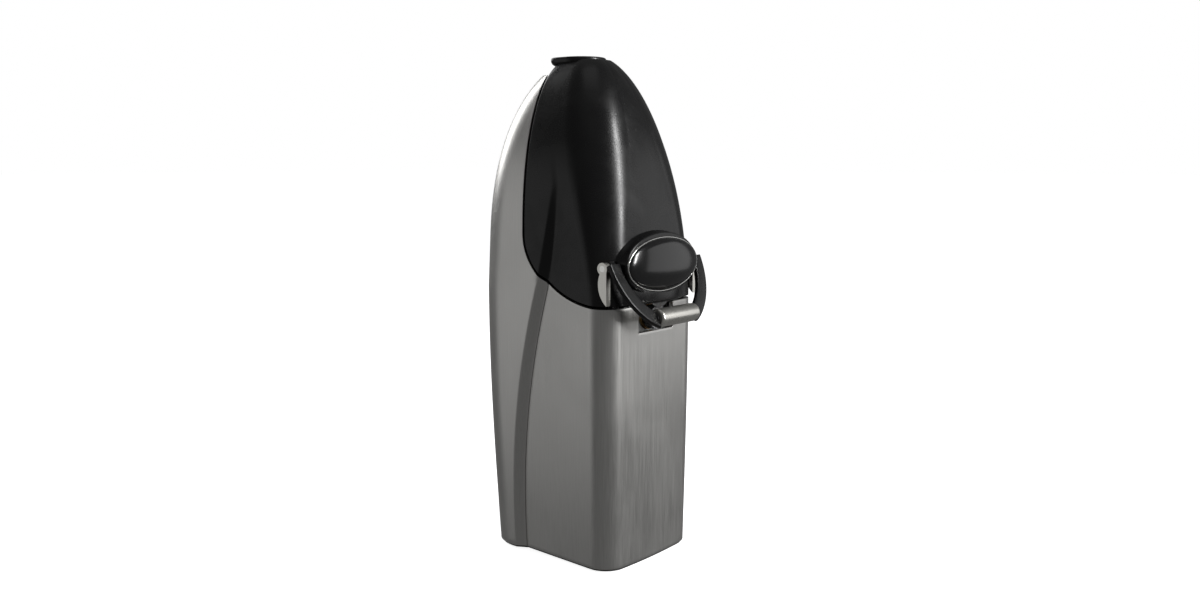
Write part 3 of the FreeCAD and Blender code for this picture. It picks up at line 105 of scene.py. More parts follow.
class HeadShape(bpy.types.PropertyGroup):
    level: length("Level", "Level of the oval head's centre", 149.3)
    pad_half_width: length("Pad half width", "Half the width of the oval pad", 28.4)
    pad_half_height: length("Pad half height", "Half the height of the oval pad", 15.5)
    pad_back: length("Pad back", "Rear of the pad, inside the lever", 36)
    pad_front: length("Pad front", "Front of the pad, on which the cap sits", 45.6)
    skirt_half: length("Lip half width", "Half the width of the lip below the cap", 28)
    skirt_side: length("Lip side", "How far forward the lip's ends are", 40)
    skirt_front: length("Lip front", "How far forward the lip's middle is", 47.8)
    cap_half_width: length("Cap half width", "Half the width of the cap", 27.4)
    cap_half_height: length("Cap half height", "Half the height of the cap", 12.6)
    cap_rim: length("Cap rim", "Height of the cap's straight rim", 0.8)
    cap_dome: length("Cap dome", "Height of the whole cap", 4.2)
    trim: length("Trim", "Width of the thin ring round the cap", 0.7)
    chamber_half: length("Chamber half width", "Half the width of the cutter's space", 11.2)
    chamber_low: length("Chamber foot", "Lowest level of the cutter's space", 127)
    chamber_top: length("Chamber top", "Highest level of the cutter's space", 158.5)
    bail_forward: length("Bail forward", "The bail's pivot ahead of the origin", 37.5)
    bail_level: length("Bail level", "Level of the bail's pivot", 149)
    bail_lean: bpy.props.FloatProperty(name="Bail lean", description="Angle of the hanging bail",
                                       default=math.radians(24.6), unit="ROTATION")
    bail_outer: length("Bail outer", "Outer radius of the bail's arms", 36.7)
    bail_inner: length("Bail inner", "Inner radius of the bail's arms", 29.8)
    bail_thick: length("Bail thickness", "Thickness of the bail's arms", 2.6)
    bail_offset: length("Bail offset", "The arms' rear face ahead of the pivot", 3)
    knuckle: length("Knuckle", "Radius of the bail's knuckles", 3.5)
    knuckle_reach: length("Knuckle reach", "Outer end of each knuckle", 33.4)
    magnet_radius: length("Magnet radius", "Radius of the bar magnet", 4.5)
    magnet_half: length("Magnet half length", "Half the length of the bar magnet", 15.2)
    magnet_reach: length("Magnet reach", "The magnet's axis below the pivot, along the arms", 28.5)
    cross_radius: length("Cross pin", "Radius of the pin through the magnet", 2)


class FinishSet(bpy.types.PropertyGroup):
    steel_dark: colour("Steel, dark", "Dark streaks of the brushed body", (0.42, 0.415, 0.40))
    steel_light: colour("Steel, light", "Light streaks of the brushed body", (0.60, 0.595, 0.58))
    black_dark: colour("Black, dark", "Dark tone of the moulded black", (0.003, 0.003, 0.0032))
    black_light: colour("Black, light", "Light tone of the moulded black", (0.007, 0.007, 0.0072))
    silver: colour("Satin silver", "The bail's ears and the magnet", (0.66, 0.65, 0.61))
    zinc: colour("Zinc", "Plated steel parts", (0.55, 0.56, 0.56))
    nylon: colour("Nylon", "Natural moulded gears", (0.80, 0.77, 0.68))
    copper: colour("Copper", "Enamelled windings", (0.55, 0.20, 0.08))
    bronze: colour("Bronze", "Sintered bushes", (0.50, 0.33, 0.15))
    floor: colour("Floor", "The pale floor", (0.86, 0.86, 0.86))


def shape():
    return bpy.context.scene.opener_shape


def head():
    return bpy.context.scene.opener_head


def finishes():
    return bpy.context.scene.opener_finishes


# ------------------------------------------------------------- body surface

SIDE_POWER, REAR_POWER, FRONT_POWER = 2.3, 2.4, 2.0
# Share of the half width that the corners reach at the dome's top.
NAPE_ROUND, NOSE_ROUND = 0.85, 0.9
# The step's ramp: where it starts on the flank, how far it climbs forward, and its width.
STEP_LOW, STEP_CLIMB, STEP_SHARE, STEP_POWER = 0.04, 0.66, 0.11, 1.9


def dome(level, shoulder, power, top):
    """Share of full size at a level: the square root of 1 less the rise to a power."""
    rise = np.clip((level - shoulder) / (top - shoulder), 0, 1)
    return np.sqrt(1 - rise ** power)


def smooth(share):
    return share * share * (3 - 2 * share)


def section(level):
    """Sizes of one level's outline: half width, rear, front, both corner radii and step."""
    s = shape()
    top = s.height + s.dome_over
    belly = np.sin(np.clip(level / s.belly, 0, 1) * QUARTER)
    side = dome(level, s.side_shoulder, SIDE_POWER, top)
    back = dome(level, s.side_shoulder, REAR_POWER, top)
    fore = dome(level, s.front_shoulder, FRONT_POWER, top)
    half = (s.base_half + (s.body_half - s.base_half) * belly) * side
    rear = (s.base_rear + (s.body_rear - s.base_rear) * belly) * back
    front = (s.base_front + (s.body_front - s.base_front) * belly) * fore
    rise = np.clip((level - s.front_shoulder) / (top - s.front_shoulder), 0, 1)
    rear_round = (s.rear_corner * np.minimum(side, back) * (1 - rise)
                  + NAPE_ROUND * np.minimum(half, rear) * rise)
    front_round = (s.front_corner * np.minimum(side, fore) * (1 - rise)
                   + NOSE_ROUND * np.minimum(half, front) * rise)
    fade = smooth(np.clip((s.step_end - level) / s.step_fade, 0, 1))
    inward = s.step_inset * fade * side
    climb = np.minimum((np.maximum(level, 0) / s.step_top) ** STEP_POWER, 1)
    flank = rear + front - rear_round - front_round
    start = rear_round - rear + flank * (STEP_LOW + STEP_CLIMB * climb)
    stop = start + flank * STEP_SHARE
    crown = s.crown * front / s.body_front
    return half, rear, front, rear_round, front_round, inward, start, stop, crown


KNOTS = (0.0, 0.12, 0.34, 0.46, 0.53, 0.64, 0.84, 1.0)
STEP_STOP = KNOTS[4]


def skin(u, level):
    """Point of the right half of the outline, from the rear's middle (u = 0) to the front's.

    Each stretch between two knots adds its own run: the rear face, the rear
    corner's arc, the flank, the step's smooth ramp, the flank's second half
    that widens again, the front corner's arc and the crowned front face.
    """
    half, rear, front, rear_round, front_round, inward, start, stop, crown = section(level)
    t = [np.clip((u - a) / (b - a), 0, 1) for a, b in zip(KNOTS, KNOTS[1:])]
    turn_rear = t[1] * QUARTER
    turn_front = t[5] * QUARTER
    x = ((half - rear_round) * t[0] + rear_round * np.sin(turn_rear)
         - inward * smooth(t[3]) + inward * t[4]
         - front_round * (1 - np.cos(turn_front)) - (half - front_round) * t[6])
    ahead = (-rear + rear_round * (1 - np.cos(turn_rear))
             + (start - rear_round + rear) * t[2] + (stop - start) * t[3]
             + (front - front_round - stop) * t[4] + front_round * np.sin(turn_front)
             + crown * (1 - (1 - t[6]) ** 2))
    return x, ahead


def reach(level, ahead):
    """The u at which each level's outline lies so far forward, by halving its range."""
    low = np.zeros_like(level)
    high = np.ones_like(level)
    for _ in range(36):
        middle = (low + high) / 2
        short = skin(middle, level)[1] < ahead
        low = np.where(short, middle, low)
        high = np.where(short, high, middle)
    return (low + high) / 2


def mirrored(x, ahead, level, seam_first):
    """Both halves of a strip of outlines as one grid, joined at their shared middle column."""
    right = np.stack([x, -ahead, level], axis=-1)
    left = right * np.array([-1.0, 1.0, 1.0])
    if seam_first:
        return np.concatenate([right, left[:, -2::-1]], axis=1)
    return np.concatenate([left[:, ::-1], right[:, 1:]], axis=1)


# ------------------------------------------------------------- mesh helpers

def grid_object(name, points, wrap=False, flip=False):
    """A mesh object from a grid of points, its columns joined round where asked."""
    rows, columns = points.shape[:2]
    index = np.arange(rows * columns).reshape(rows, columns)
    ahead = np.roll(index, -1, axis=1) if wrap else index[:, 1:]
    here = index if wrap else index[:, :-1]
    quads = np.stack([here[:-1], ahead[:-1], ahead[1:], here[1:]], axis=-1).reshape(-1, 4)
    if flip:
        quads = quads[:, ::-1]
    mesh = bpy.data.meshes.new(name)
    mesh.from_pydata(points.reshape(-1, 3).tolist(), [], quads.tolist())
    made = bpy.data.objects.new(name, mesh)
    bpy.context.scene.collection.objects.link(made)
    weld(made)
    return made


def weld(thing, outward=False):
    """Merge points that lie on each other, and turn the faces outwards where asked."""
    work = bmesh.new()
    work.from_mesh(thing.data)
    bmesh.ops.remove_doubles(work, verts=work.verts, dist=1e-7)
    bmesh.ops.dissolve_degenerate(work, edges=work.edges, dist=1e-8)
    if outward:
        bmesh.ops.recalc_face_normals(work, faces=work.faces)
    work.to_mesh(thing.data)
    work.free()


def closed_tube(name, loops):
    """A closed solid from loops of points, with its first and last loops filled in."""
    middle_first = loops[:1].mean(axis=1, keepdims=True).repeat(loops.shape[1], axis=1)
    middle_last = loops[-1:].mean(axis=1, keepdims=True).repeat(loops.shape[1], axis=1)
    made = grid_object(name, np.concatenate([middle_first, loops, middle_last]), wrap=True)
    weld(made, outward=True)
    return made


def settle(thing):
    """Turn the modifiers' result into the object's own mesh."""
    graph = bpy.context.evaluated_depsgraph_get()
    result = bpy.data.meshes.new_from_object(thing.evaluated_get(graph))
    thing.modifiers.clear()
    old = thing.data
    thing.data = result
    bpy.data.meshes.remove(old)
    return thing


def walled(thing, thick):
    """Give an open skin its wall, inwards."""
    wall = thing.modifiers.new("wall", "SOLIDIFY")
    wall.thickness = thick
    wall.offset = -1
    wall.use_even_offset = True
    return settle(thing)


def carved(thing, tool):
    """Cut a closed tool out of a closed piece, and drop the tool."""
    bite = thing.modifiers.new("bite", "BOOLEAN")
    bite.operation = "DIFFERENCE"
    bite.solver = "EXACT"
    bite.object = tool
    settle(thing)
    bpy.data.objects.remove(tool)
    return thing


def block(name, low, high):
    """A box tool between two corners, given as (x, forward, level)."""
    x, ahead, level = np.meshgrid(*[(a, b) for a, b in zip(low, high)], indexing="ij")
    corners = np.stack([x, -ahead, level], axis=-1)
    ring = np.stack([corners[:, 0, 0], corners[:, 1, 0], corners[:, 1, 1], corners[:, 0, 1]],
                    axis=1)
    return closed_tube(name, ring)


def turned(name, profile, centre, axis, sides=96):
    """A profile of (radius, distance) revolved about an axis through a centre."""
    angle = np.linspace(0, TURN, sides, endpoint=False)
    along = Vector(axis).normalized()
    across = along.orthogonal().normalized()
    third = along.cross(across)
    radius = np.array([p[0] for p in profile])[:, None, None]
    run = np.array([p[1] for p in profile])[:, None, None]
    spokes = (np.cos(angle)[:, None] * np.array(across) + np.sin(angle)[:, None] * np.array(third))
    points = np.array(centre) + radius * spokes[None] + run * np.array(along)
    return closed_tube(name, points)


def joined(name, pieces):
    """Several closed solids as one object."""
    work = bmesh.new()
    for piece in pieces:
        work.from_mesh(piece.data)
    mesh = bpy.data.meshes.new(name)
    work.to_mesh(mesh)
    work.free()
    for piece in pieces:
        bpy.data.objects.remove(piece)
    made = bpy.data.objects.new(name, mesh)
    bpy.context.scene.collection.objects.link(made)
    return made


def finished(thing, body, nodes, slot, edge=0.3, angle=42):
    """Round the edges, shade it, and hand the piece over to its body, nodes and slot."""
    if edge:
        soften = thing.modifiers.new("edges", "BEVEL")
        soften.width = edge * MM
        soften.segments = 2
        soften.limit_method = "ANGLE"
        soften.angle_limit = math.radians(angle)
        soften.use_clamp_overlap = True
        settle(thing)
    thing.data.shade_smooth()
    thing.data.set_sharp_from_angle(angle=math.radians(angle))
    thing.data.materials.clear()
    thing.data.materials.append(finish_of(slot))
    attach(thing, body)
    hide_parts(*nodes)
    return thing


# ---------------------------------------------------------------- materials

def new_group(name, inputs, outputs):
    """An empty shader group with its sockets and its two end nodes."""
    tree = bpy.data.node_groups.new(name, "ShaderNodeTree")
    for label, kind, value in inputs:
        socket = tree.interface.new_socket(name=label, in_out="INPUT", socket_type=kind)
        socket.default_value = value
    for label, kind in outputs:
        tree.interface.new_socket(name=label, in_out="OUTPUT", socket_type=kind)
    return tree, tree.nodes.new("NodeGroupInput"), tree.nodes.new("NodeGroupOutput")


def add(tree, kind, links=(), **settings):
    """A node with its settings, and links into its sockets by number or name."""
    node = tree.nodes.new(kind)
    for key, value in settings.items():
        setattr(node, key, value)
    for socket, source in links:
        if hasattr(source, "is_output"):
            tree.links.new(source, node.inputs[socket])
        else:
            node.inputs[socket].default_value = source
    return node


def grain_group():
    """Fine grain: stretched noise that drives tone, gloss and relief."""
    tree, given, result = new_group("Grain", [
        ("Stretch", "NodeSocketVector", (1, 1, 1)), ("Dark", "NodeSocketColor", (0, 0, 0, 1)),
        ("Light", "NodeSocketColor", (1, 1, 1, 1)), ("Rough Low", "NodeSocketFloat", 0.3),
        ("Rough High", "NodeSocketFloat", 0.5), ("Relief", "NodeSocketFloat", 0.1),
    ], [("Color", "NodeSocketColor"), ("Roughness", "NodeSocketFloat"),
        ("Normal", "NodeSocketVector")])
    place = add(tree, "ShaderNodeTexCoord")
    spread = add(tree, "ShaderNodeVectorMath", [(0, place.outputs["Object"]),
                                                (1, given.outputs["Stretch"])],
                 operation="MULTIPLY")
    noise = add(tree, "ShaderNodeTexNoise", [("Vector", spread.outputs[0]), ("Scale", 1.0),
                                             ("Detail", 5.0), ("Roughness", 0.62)])
    tone = add(tree, "ShaderNodeMix", [("Factor", noise.outputs["Fac"]),
                                       (6, given.outputs["Dark"]), (7, given.outputs["Light"])],
               data_type="RGBA")
    gloss = add(tree, "ShaderNodeMapRange", [("Value", noise.outputs["Fac"]), ("From Min", 0.3),
                                             ("From Max", 0.7),
                                             ("To Min", given.outputs["Rough Low"]),
                                             ("To Max", given.outputs["Rough High"])])
    bump = add(tree, "ShaderNodeBump", [("Strength", given.outputs["Relief"]),
                                        ("Distance", 0.00012), ("Height", noise.outputs["Fac"])])
    tree.links.new(tone.outputs[2], result.inputs["Color"])
    tree.links.new(gloss.outputs[0], result.inputs["Roughness"])
    tree.links.new(bump.outputs[0], result.inputs["Normal"])
    return tree


def handling_group():
    """Signs of handling: broad smudges and thin scratches over a tone and a gloss."""
    tree, given, result = new_group("Handling", [
        ("Color", "NodeSocketColor", (1, 1, 1, 1)), ("Roughness", "NodeSocketFloat", 0.4),
        ("Smudge", "NodeSocketFloat", 0.1), ("Scratch", "NodeSocketFloat", 0.1),
        ("Size", "NodeSocketFloat", 45.0),
    ], [("Color", "NodeSocketColor"), ("Roughness", "NodeSocketFloat")])
    place = add(tree, "ShaderNodeTexCoord")
    broad = add(tree, "ShaderNodeTexNoise", [("Vector", place.outputs["Object"]),
                                             ("Scale", given.outputs["Size"]), ("Detail", 3.0),
                                             ("Distortion", 0.6)])
    cloud = add(tree, "ShaderNodeMapRange", [("Value", broad.outputs["Fac"]), ("From Min", 0.42),
                                             ("From Max", 0.72), ("To Max", 1.0)])
    stretched = add(tree, "ShaderNodeMapping", [("Vector", place.outputs["Object"]),
                                                ("Rotation", (0.35, 0.2, 0.6)),
                                                ("Scale", (900.0, 900.0, 22.0))])
    thin = add(tree, "ShaderNodeTexNoise", [("Vector", stretched.outputs[0]), ("Scale", 1.0),
                                            ("Detail", 1.0)])
    mark = add(tree, "ShaderNodeMapRange", [("Value", thin.outputs["Fac"]), ("From Min", 0.70),
                                            ("From Max", 0.76), ("To Max", 1.0)])
    cloudy = add(tree, "ShaderNodeMath", [(0, cloud.outputs[0]), (1, given.outputs["Smudge"])],
                 operation="MULTIPLY")
    marked = add(tree, "ShaderNodeMath", [(0, mark.outputs[0]), (1, given.outputs["Scratch"])],
                 operation="MULTIPLY")
    both = add(tree, "ShaderNodeMath", [(0, cloudy.outputs[0]), (1, marked.outputs[0])],
               operation="ADD")
    rough = add(tree, "ShaderNodeMath", [(0, both.outputs[0]), (1, given.outputs["Roughness"])],
                operation="ADD", use_clamp=True)
    lifted = add(tree, "ShaderNodeVectorMath", [(0, given.outputs["Color"]), (1, (1.6, 1.6, 1.6)),
                                                (2, (0.002, 0.002, 0.002))],
                 operation="MULTIPLY_ADD")
    shade = add(tree, "ShaderNodeMix", [("Factor", both.outputs[0]), (6, given.outputs["Color"]),
                                        (7, lifted.outputs[0])], data_type="RGBA")
    tree.links.new(shade.outputs[2], result.inputs["Color"])
    tree.links.new(rough.outputs[0], result.inputs["Roughness"])
    return tree


def material(name, dark, light, metallic, rough, stretch, relief, smudge=0.05, scratch=0.05,
             coat=0.0, size=45.0):
    """A finish: grain, then handling, into one shader whose even values sit on its sockets."""
    made = bpy.data.materials.new(f"{name}_finish")
    made.use_nodes = True
    tree = made.node_tree
    shader = tree.nodes["Principled BSDF"]
    grain = add(tree, "ShaderNodeGroup", node_tree=bpy.data.node_groups["Grain"])
    grain.inputs["Stretch"].default_value = stretch
    grain.inputs["Dark"].default_value = (*dark, 1)
    grain.inputs["Light"].default_value = (*light, 1)
    grain.inputs["Rough Low"].default_value = rough[0]
    grain.inputs["Rough High"].default_value = rough[1]
    grain.inputs["Relief"].default_value = relief
    worn = add(tree, "ShaderNodeGroup", node_tree=bpy.data.node_groups["Handling"])
    worn.inputs["Smudge"].default_value = smudge
    worn.inputs["Scratch"].default_value = scratch
    worn.inputs["Size"].default_value = size
    tree.links.new(grain.outputs["Color"], worn.inputs["Color"])
    tree.links.new(grain.outputs["Roughness"], worn.inputs["Roughness"])
    tree.links.new(worn.outputs["Color"], shader.inputs["Base Color"])
    tree.links.new(worn.outputs["Roughness"], shader.inputs["Roughness"])
    tree.links.new(grain.outputs["Normal"], shader.inputs["Normal"])
    shader.inputs["Metallic"].default_value = metallic
    shader.inputs["Coat Weight"].default_value = coat
    shader.inputs["Coat Roughness"].default_value = 0.12
    shader.inputs["Specular IOR Level"].default_value = 0.5 if metallic else 0.3
    return made


def finish_of(slot):
    """The finish made for a material slot of the frame."""
    return bpy.data.materials[f"{slot}_finish"]


def scaled(tone, factor):
    """A tone made lighter or darker by a factor."""
    return tuple(channel * factor for channel in tone)


UPRIGHT_BRUSH = (3200.0, 3200.0, 26.0)
FINE_MOULD = (2600.0, 2600.0, 2600.0)
ROUND_BRUSH = (900.0, 4200.0, 4200.0)


class OPENER_OT_finishes(bpy.types.Operator):
    """Make every finish and give each carried-over node its own"""
    bl_idname = "opener.finishes"
    bl_label = "Finishes"

    def execute(self, context):
        tones = finishes()
        grain_group()
        handling_group()
        black = (tones.black_dark, tones.black_light)
        material("brushed_metal", tones.steel_dark, tones.steel_light, 1.0, (0.30, 0.42),
                 UPRIGHT_BRUSH, 0.10, smudge=0.05, scratch=0.03, size=22.0)
        material("black_plastic", *black, 0.0, (0.22, 0.30), FINE_MOULD, 0.06, smudge=0.1,
                 scratch=0.1, size=60.0)
        material("gloss_black", *black, 0.0, (0.12, 0.18), FINE_MOULD, 0.02, smudge=0.1,
                 scratch=0.1, coat=0.3)
        material("rubber", (0.014, 0.014, 0.014), (0.03, 0.03, 0.03), 0.0, (0.72, 0.9),
                 (1500.0, 1500.0, 1500.0), 0.35, smudge=0.08, scratch=0.0)
        material("zinc_steel", scaled(tones.zinc, 0.8), tones.zinc, 1.0, (0.28, 0.48),
                 (500.0, 500.0, 500.0), 0.08, smudge=0.12, scratch=0.1)
        material("bright_steel", (0.68, 0.68, 0.66), (0.80, 0.80, 0.78), 1.0, (0.10, 0.2),
                 ROUND_BRUSH, 0.03, smudge=0.05, scratch=0.05)
        material("satin_silver", scaled(tones.silver, 0.86), tones.silver, 1.0, (0.24, 0.36),
                 ROUND_BRUSH, 0.08, smudge=0.04, scratch=0.04)
        material("tool_steel", (0.30, 0.30, 0.31), (0.46, 0.46, 0.47), 1.0, (0.22, 0.40),
                 (1800.0, 1800.0, 1800.0), 0.10, smudge=0.1, scratch=0.15)
        material("nylon", scaled(tones.nylon, 0.9), tones.nylon, 0.0, (0.40, 0.55),
                 (1200.0, 1200.0, 1200.0), 0.10, smudge=0.05, scratch=0.02)
        material("bronze", scaled(tones.bronze, 0.7), tones.bronze, 1.0, (0.40, 0.6),
                 (2200.0, 2200.0, 2200.0), 0.25, smudge=0.1, scratch=0.05)
        material("lamination", (0.08, 0.08, 0.09), (0.2, 0.2, 0.21), 1.0, (0.42, 0.6),
                 (60.0, 2000.0, 60.0), 0.45, smudge=0.1, scratch=0.1)
        material("copper", scaled(tones.copper, 0.6), tones.copper, 1.0, (0.28, 0.45),
                 (2500.0, 2500.0, 300.0), 0.4, smudge=0.05, scratch=0.0)
        material("aluminium", (0.55, 0.55, 0.56), (0.68, 0.68, 0.69), 1.0, (0.36, 0.5),
                 (700.0, 700.0, 700.0), 0.15, smudge=0.05, scratch=0.05)
        material("grey_plastic", (0.05, 0.053, 0.056), (0.08, 0.083, 0.087), 0.0, (0.42, 0.55),
                 FINE_MOULD, 0.15, smudge=0.05, scratch=0.03)
        slots = {part["node"]: part["material_slot"] for part in frame["record"]["subparts"]}
        for node, thing in frame["nodes"].items():
            thing.data.materials.clear()
            thing.data.materials.append(finish_of(slots[node]))
        return {"FINISHED"}


# -------------------------------------------------------------------- shells

def seam_level(ahead, gap):
    """Level of the lever's lower edge so far forward: a quarter ellipse, then level."""
    s = shape()
    wide = s.seam_ahead + s.seam_back + gap
    tall = s.seam_turn - s.seam_low + gap
    share = np.clip((s.seam_ahead - ahead) / wide, 0, 1)
    return s.seam_turn - tall * np.sqrt(1 - share * share)


def seam_rows(gap, steps):
    """Levels and forward places along that quarter ellipse, even in its angle."""
    s = shape()
    angle = np.linspace(0, QUARTER, steps)
    level = s.seam_turn - (s.seam_turn - s.seam_low + gap) * np.cos(angle)
    ahead = s.seam_ahead - (s.seam_ahead + s.seam_back + gap) * np.sin(angle)
    return level, ahead


class OPENER_OT_rear_shell(bpy.types.Operator):
    """The rear body shell, from the base to the tab, with its edge at the flank's step"""
    bl_idname = "opener.rear_shell"
    bl_label = "Rear shell"

    def execute(self, context):
        s = shape()
        seam, edge = seam_rows(s.seam_gap, 36)
        low = np.linspace(s.shell_foot, seam[0], 44)[:-1]
        rise = np.linspace(0, 0.82 * QUARTER, 64)[1:]
        high = s.seam_turn + (s.rear_top - s.seam_turn) * np.sin(rise) / math.sin(rise[-1])
        level = np.concatenate([low, seam, high])
        limit = np.concatenate([np.full(low.shape, s.seam_ahead), edge,
                                np.full(high.shape, -s.seam_back - s.seam_gap)])
        stop = section(level)[7] - 0.25 * MM
        end = reach(level, np.minimum(limit, stop))
        share = np.linspace(0, 1, 104)
        u = end[:, None] * share[None]
        tall = np.broadcast_to(level[:, None], u.shape)
        x, ahead = skin(u, tall)
        made = grid_object("rear_body_shell", mirrored(x, ahead, tall, False), flip=True)
        walled(made, s.wall)
        neck = turned("inlet_tool", [(5 * MM, -20 * MM), (5 * MM, 20 * MM)],
                      (0, s.body_rear - 4 * MM, 16 * MM), (0, 1, 0), 64)
        carved(made, neck)
        finished(made, "housing", ["rear_shell"], "brushed_metal")
        return {"FINISHED"}


class OPENER_OT_front_shell(bpy.types.Operator):
    """The lower front shell, its upper edge following the lever's seam"""
    bl_idname = "opener.front_shell"
    bl_label = "Front shell"

    def execute(self, context):
        s = shape()
        u = np.linspace(STEP_STOP, 1, 120)
        top = np.full(u.shape, s.seam_low - s.seam_gap)
        for _ in range(20):
            top = seam_level(skin(u, top)[1], s.seam_gap)
        share = np.linspace(0, 1, 90)
        level = s.shell_foot + (top[None] - s.shell_foot) * share[:, None]
        x, ahead = skin(np.broadcast_to(u[None], level.shape), level)
        made = grid_object("front_body_shell", mirrored(x, ahead, level, True), flip=True)
        walled(made, s.wall)
        recess = block("recess_tool", (-s.recess_half, s.body_front - 8 * MM, s.recess_low),
                       (s.recess_half, s.body_front + 8 * MM, s.seam_low + 4 * MM))
        carved(made, recess)
        finished(made, "housing", ["front_shell"], "brushed_metal")
        return {"FINISHED"}


def lever_skin():
    """The lever's skin: rows from the seam's foot to the dome's top, closed under the tab."""
    s = shape()
    seam, edge = seam_rows(0, 48)
    peak = s.height - 1.6 * MM
    rise = np.linspace(0, QUARTER, 76)[1:]
    high = s.seam_turn + (peak - s.seam_turn) * np.sin(rise)
    level = np.concatenate([seam, high])
    limit = np.concatenate([edge, np.full(high.shape, -s.seam_back)])
    begin = reach(level, limit)
    share = np.linspace(0, 1, 110)
    u = begin[:, None] + (1 - begin[:, None]) * share[None]
    tall = np.broadcast_to(level[:, None], u.shape)
    x, ahead = skin(u, tall)
    points = mirrored(x, ahead, tall, True)
    centre = np.broadcast_to(points[-1].mean(axis=0), points[-1:].shape)
    return grid_object("lever_skin", np.concatenate([points, centre]), flip=True)


def finger_tab():
    """The tab: a flat top whose plan is round ahead and nearly square behind.

    The plan is a superellipse with power 2 ahead and 5 behind. Its rows run
    from the middle of the top, over a rounded brow, down to a tucked-in root.
    """
    s = shape()
    angle = np.linspace(0, TURN, 160, endpoint=False)
    power = np.where(np.sin(angle) >= 0, 2.0, 5.0)
    wide = np.sign(np.cos(angle)) * np.abs(np.cos(angle)) ** (2 / power)
    long = np.sign(np.sin(angle)) * np.abs(np.sin(angle)) ** (2 / power)
    middle = s.tab_half - s.tab_rear
    brow = np.linspace(0, QUARTER, 7)
    radius = 1.1 * MM
    rows = [(0.5, 0.0), (0.85, 0.0)]
    rows += [((s.tab_half - radius + radius * math.sin(a)) / s.tab_half,
              radius * (1 - math.cos(a))) for a in brow]
    rows += [(0.992, 2.2 * MM), (0.965, 3.1 * MM), (0.90, 3.9 * MM), (0.80, 4.6 * MM),
             (0.66, 5.6 * MM), (0.5, 7.4 * MM)]
    share = np.array([row[0] for row in rows])[:, None]
    drop = np.array([row[1] for row in rows])[:, None]
    x = share * s.tab_half * wide[None]
    ahead = middle + share * s.tab_half * long[None]
    level = np.broadcast_to(s.height - drop, x.shape)
    return closed_tube("finger_tab", np.stack([x, -ahead, level], axis=-1))


def oval_drum():
    """The oval pad: an ellipse carried forward, flared into the lever along its upper half."""
    h = head()
    angle = np.linspace(0, TURN, 200, endpoint=False)
    flare = np.clip(np.sin(angle), 0, 1) ** 0.7
    deep = h.pad_front - h.pad_back
    rows = [(0.0, 0.16), (0.30, 0.085), (0.5, 0.035), (0.66, 0.008), (0.78, 0.0)]
    share = np.array([row[0] for row in rows])[:, None]
    wider = np.array([row[1] for row in rows])[:, None]
    stretch = 1 + wider * flare[None]
    ahead = h.pad_back + deep * share
    rim = np.linspace(0, QUARTER, 6)[:, None]
    rim_radius = 0.9 * MM
    inset = rim_radius * (1 - np.cos(rim))
    x = np.concatenate([h.pad_half_width * stretch * np.cos(angle)[None],
                        (h.pad_half_width - inset) * np.cos(angle)[None]])
    z = np.concatenate([h.pad_half_height * stretch * np.sin(angle)[None],
                        (h.pad_half_height - inset) * np.sin(angle)[None]])
    run = np.concatenate([ahead, h.pad_front - rim_radius + rim_radius * np.sin(rim)])
    run = np.broadcast_to(run, x.shape)
    return closed_tube("oval_drum", np.stack([x, -run, h.level + z], axis=-1))


def crowned_lip():
    """The lip below the cap: a bowed bar whose top follows the trim's oval.

    Across the head, the bar's front runs along a bow and its top along the
    ellipse round the cap. Each cross-section is a rectangle with two rounded
    front corners.
    """
    h = head()
    s = shape()
    across = np.linspace(-1, 1, 121)
    x = np.sin(across * QUARTER) * h.skirt_half
    bow = h.skirt_front - h.skirt_side
    front = h.skirt_front - bow * (x / h.skirt_half) ** 2
    oval_x = h.cap_half_width + h.trim
    oval_z = h.cap_half_height + h.trim
    top = h.level - oval_z * np.sqrt(np.clip(1 - (x / oval_x) ** 2, 0, 1))
    low = np.full(x.shape, s.seam_low)
    radius = np.minimum(1.4 * MM, (top - low) * 0.4)
    arc = np.linspace(0, QUARTER, 6)
    ahead = [np.full(x.shape, h.pad_back)]
    level = [low]
    for a in arc:
        ahead.append(front - radius + radius * math.sin(a))
        level.append(low + radius - radius * math.cos(a))
    small = 0.45 * MM
    for a in arc:
        ahead.append(front - small + small * math.cos(a))
        level.append(top - small + small * math.sin(a))
    ahead.append(np.full(x.shape, h.pad_back))
    level.append(top)
    loops = np.stack([np.broadcast_to(x, (len(ahead), x.size)), -np.array(ahead),
                      np.array(level)], axis=-1)
    return closed_tube("crowned_lip", loops.transpose(1, 0, 2))


class OPENER_OT_lever(bpy.types.Operator):
    """The black lever: its skin, finger tab, oval pad and lip, opened for the cutter"""
    bl_idname = "opener.lever"
    bl_label = "Lever"

    def execute(self, context):
        s = shape()
        h = head()
        skin_piece = walled(lever_skin(), s.wall)
        pieces = [skin_piece, oval_drum(), crowned_lip()]
        for piece in pieces:
            low = (-h.chamber_half, h.pad_back - 8 * MM, h.chamber_low)
            high = (h.chamber_half, h.pad_front - 0.9 * MM, h.chamber_top)
            carved(piece, block("chamber_tool", low, high))
        pieces.append(finger_tab())
        made = joined("lever_cover", pieces)
        finished(made, "lever", ["lever_shell"], "black_plastic", edge=0.25, angle=38)
        return {"FINISHED"}


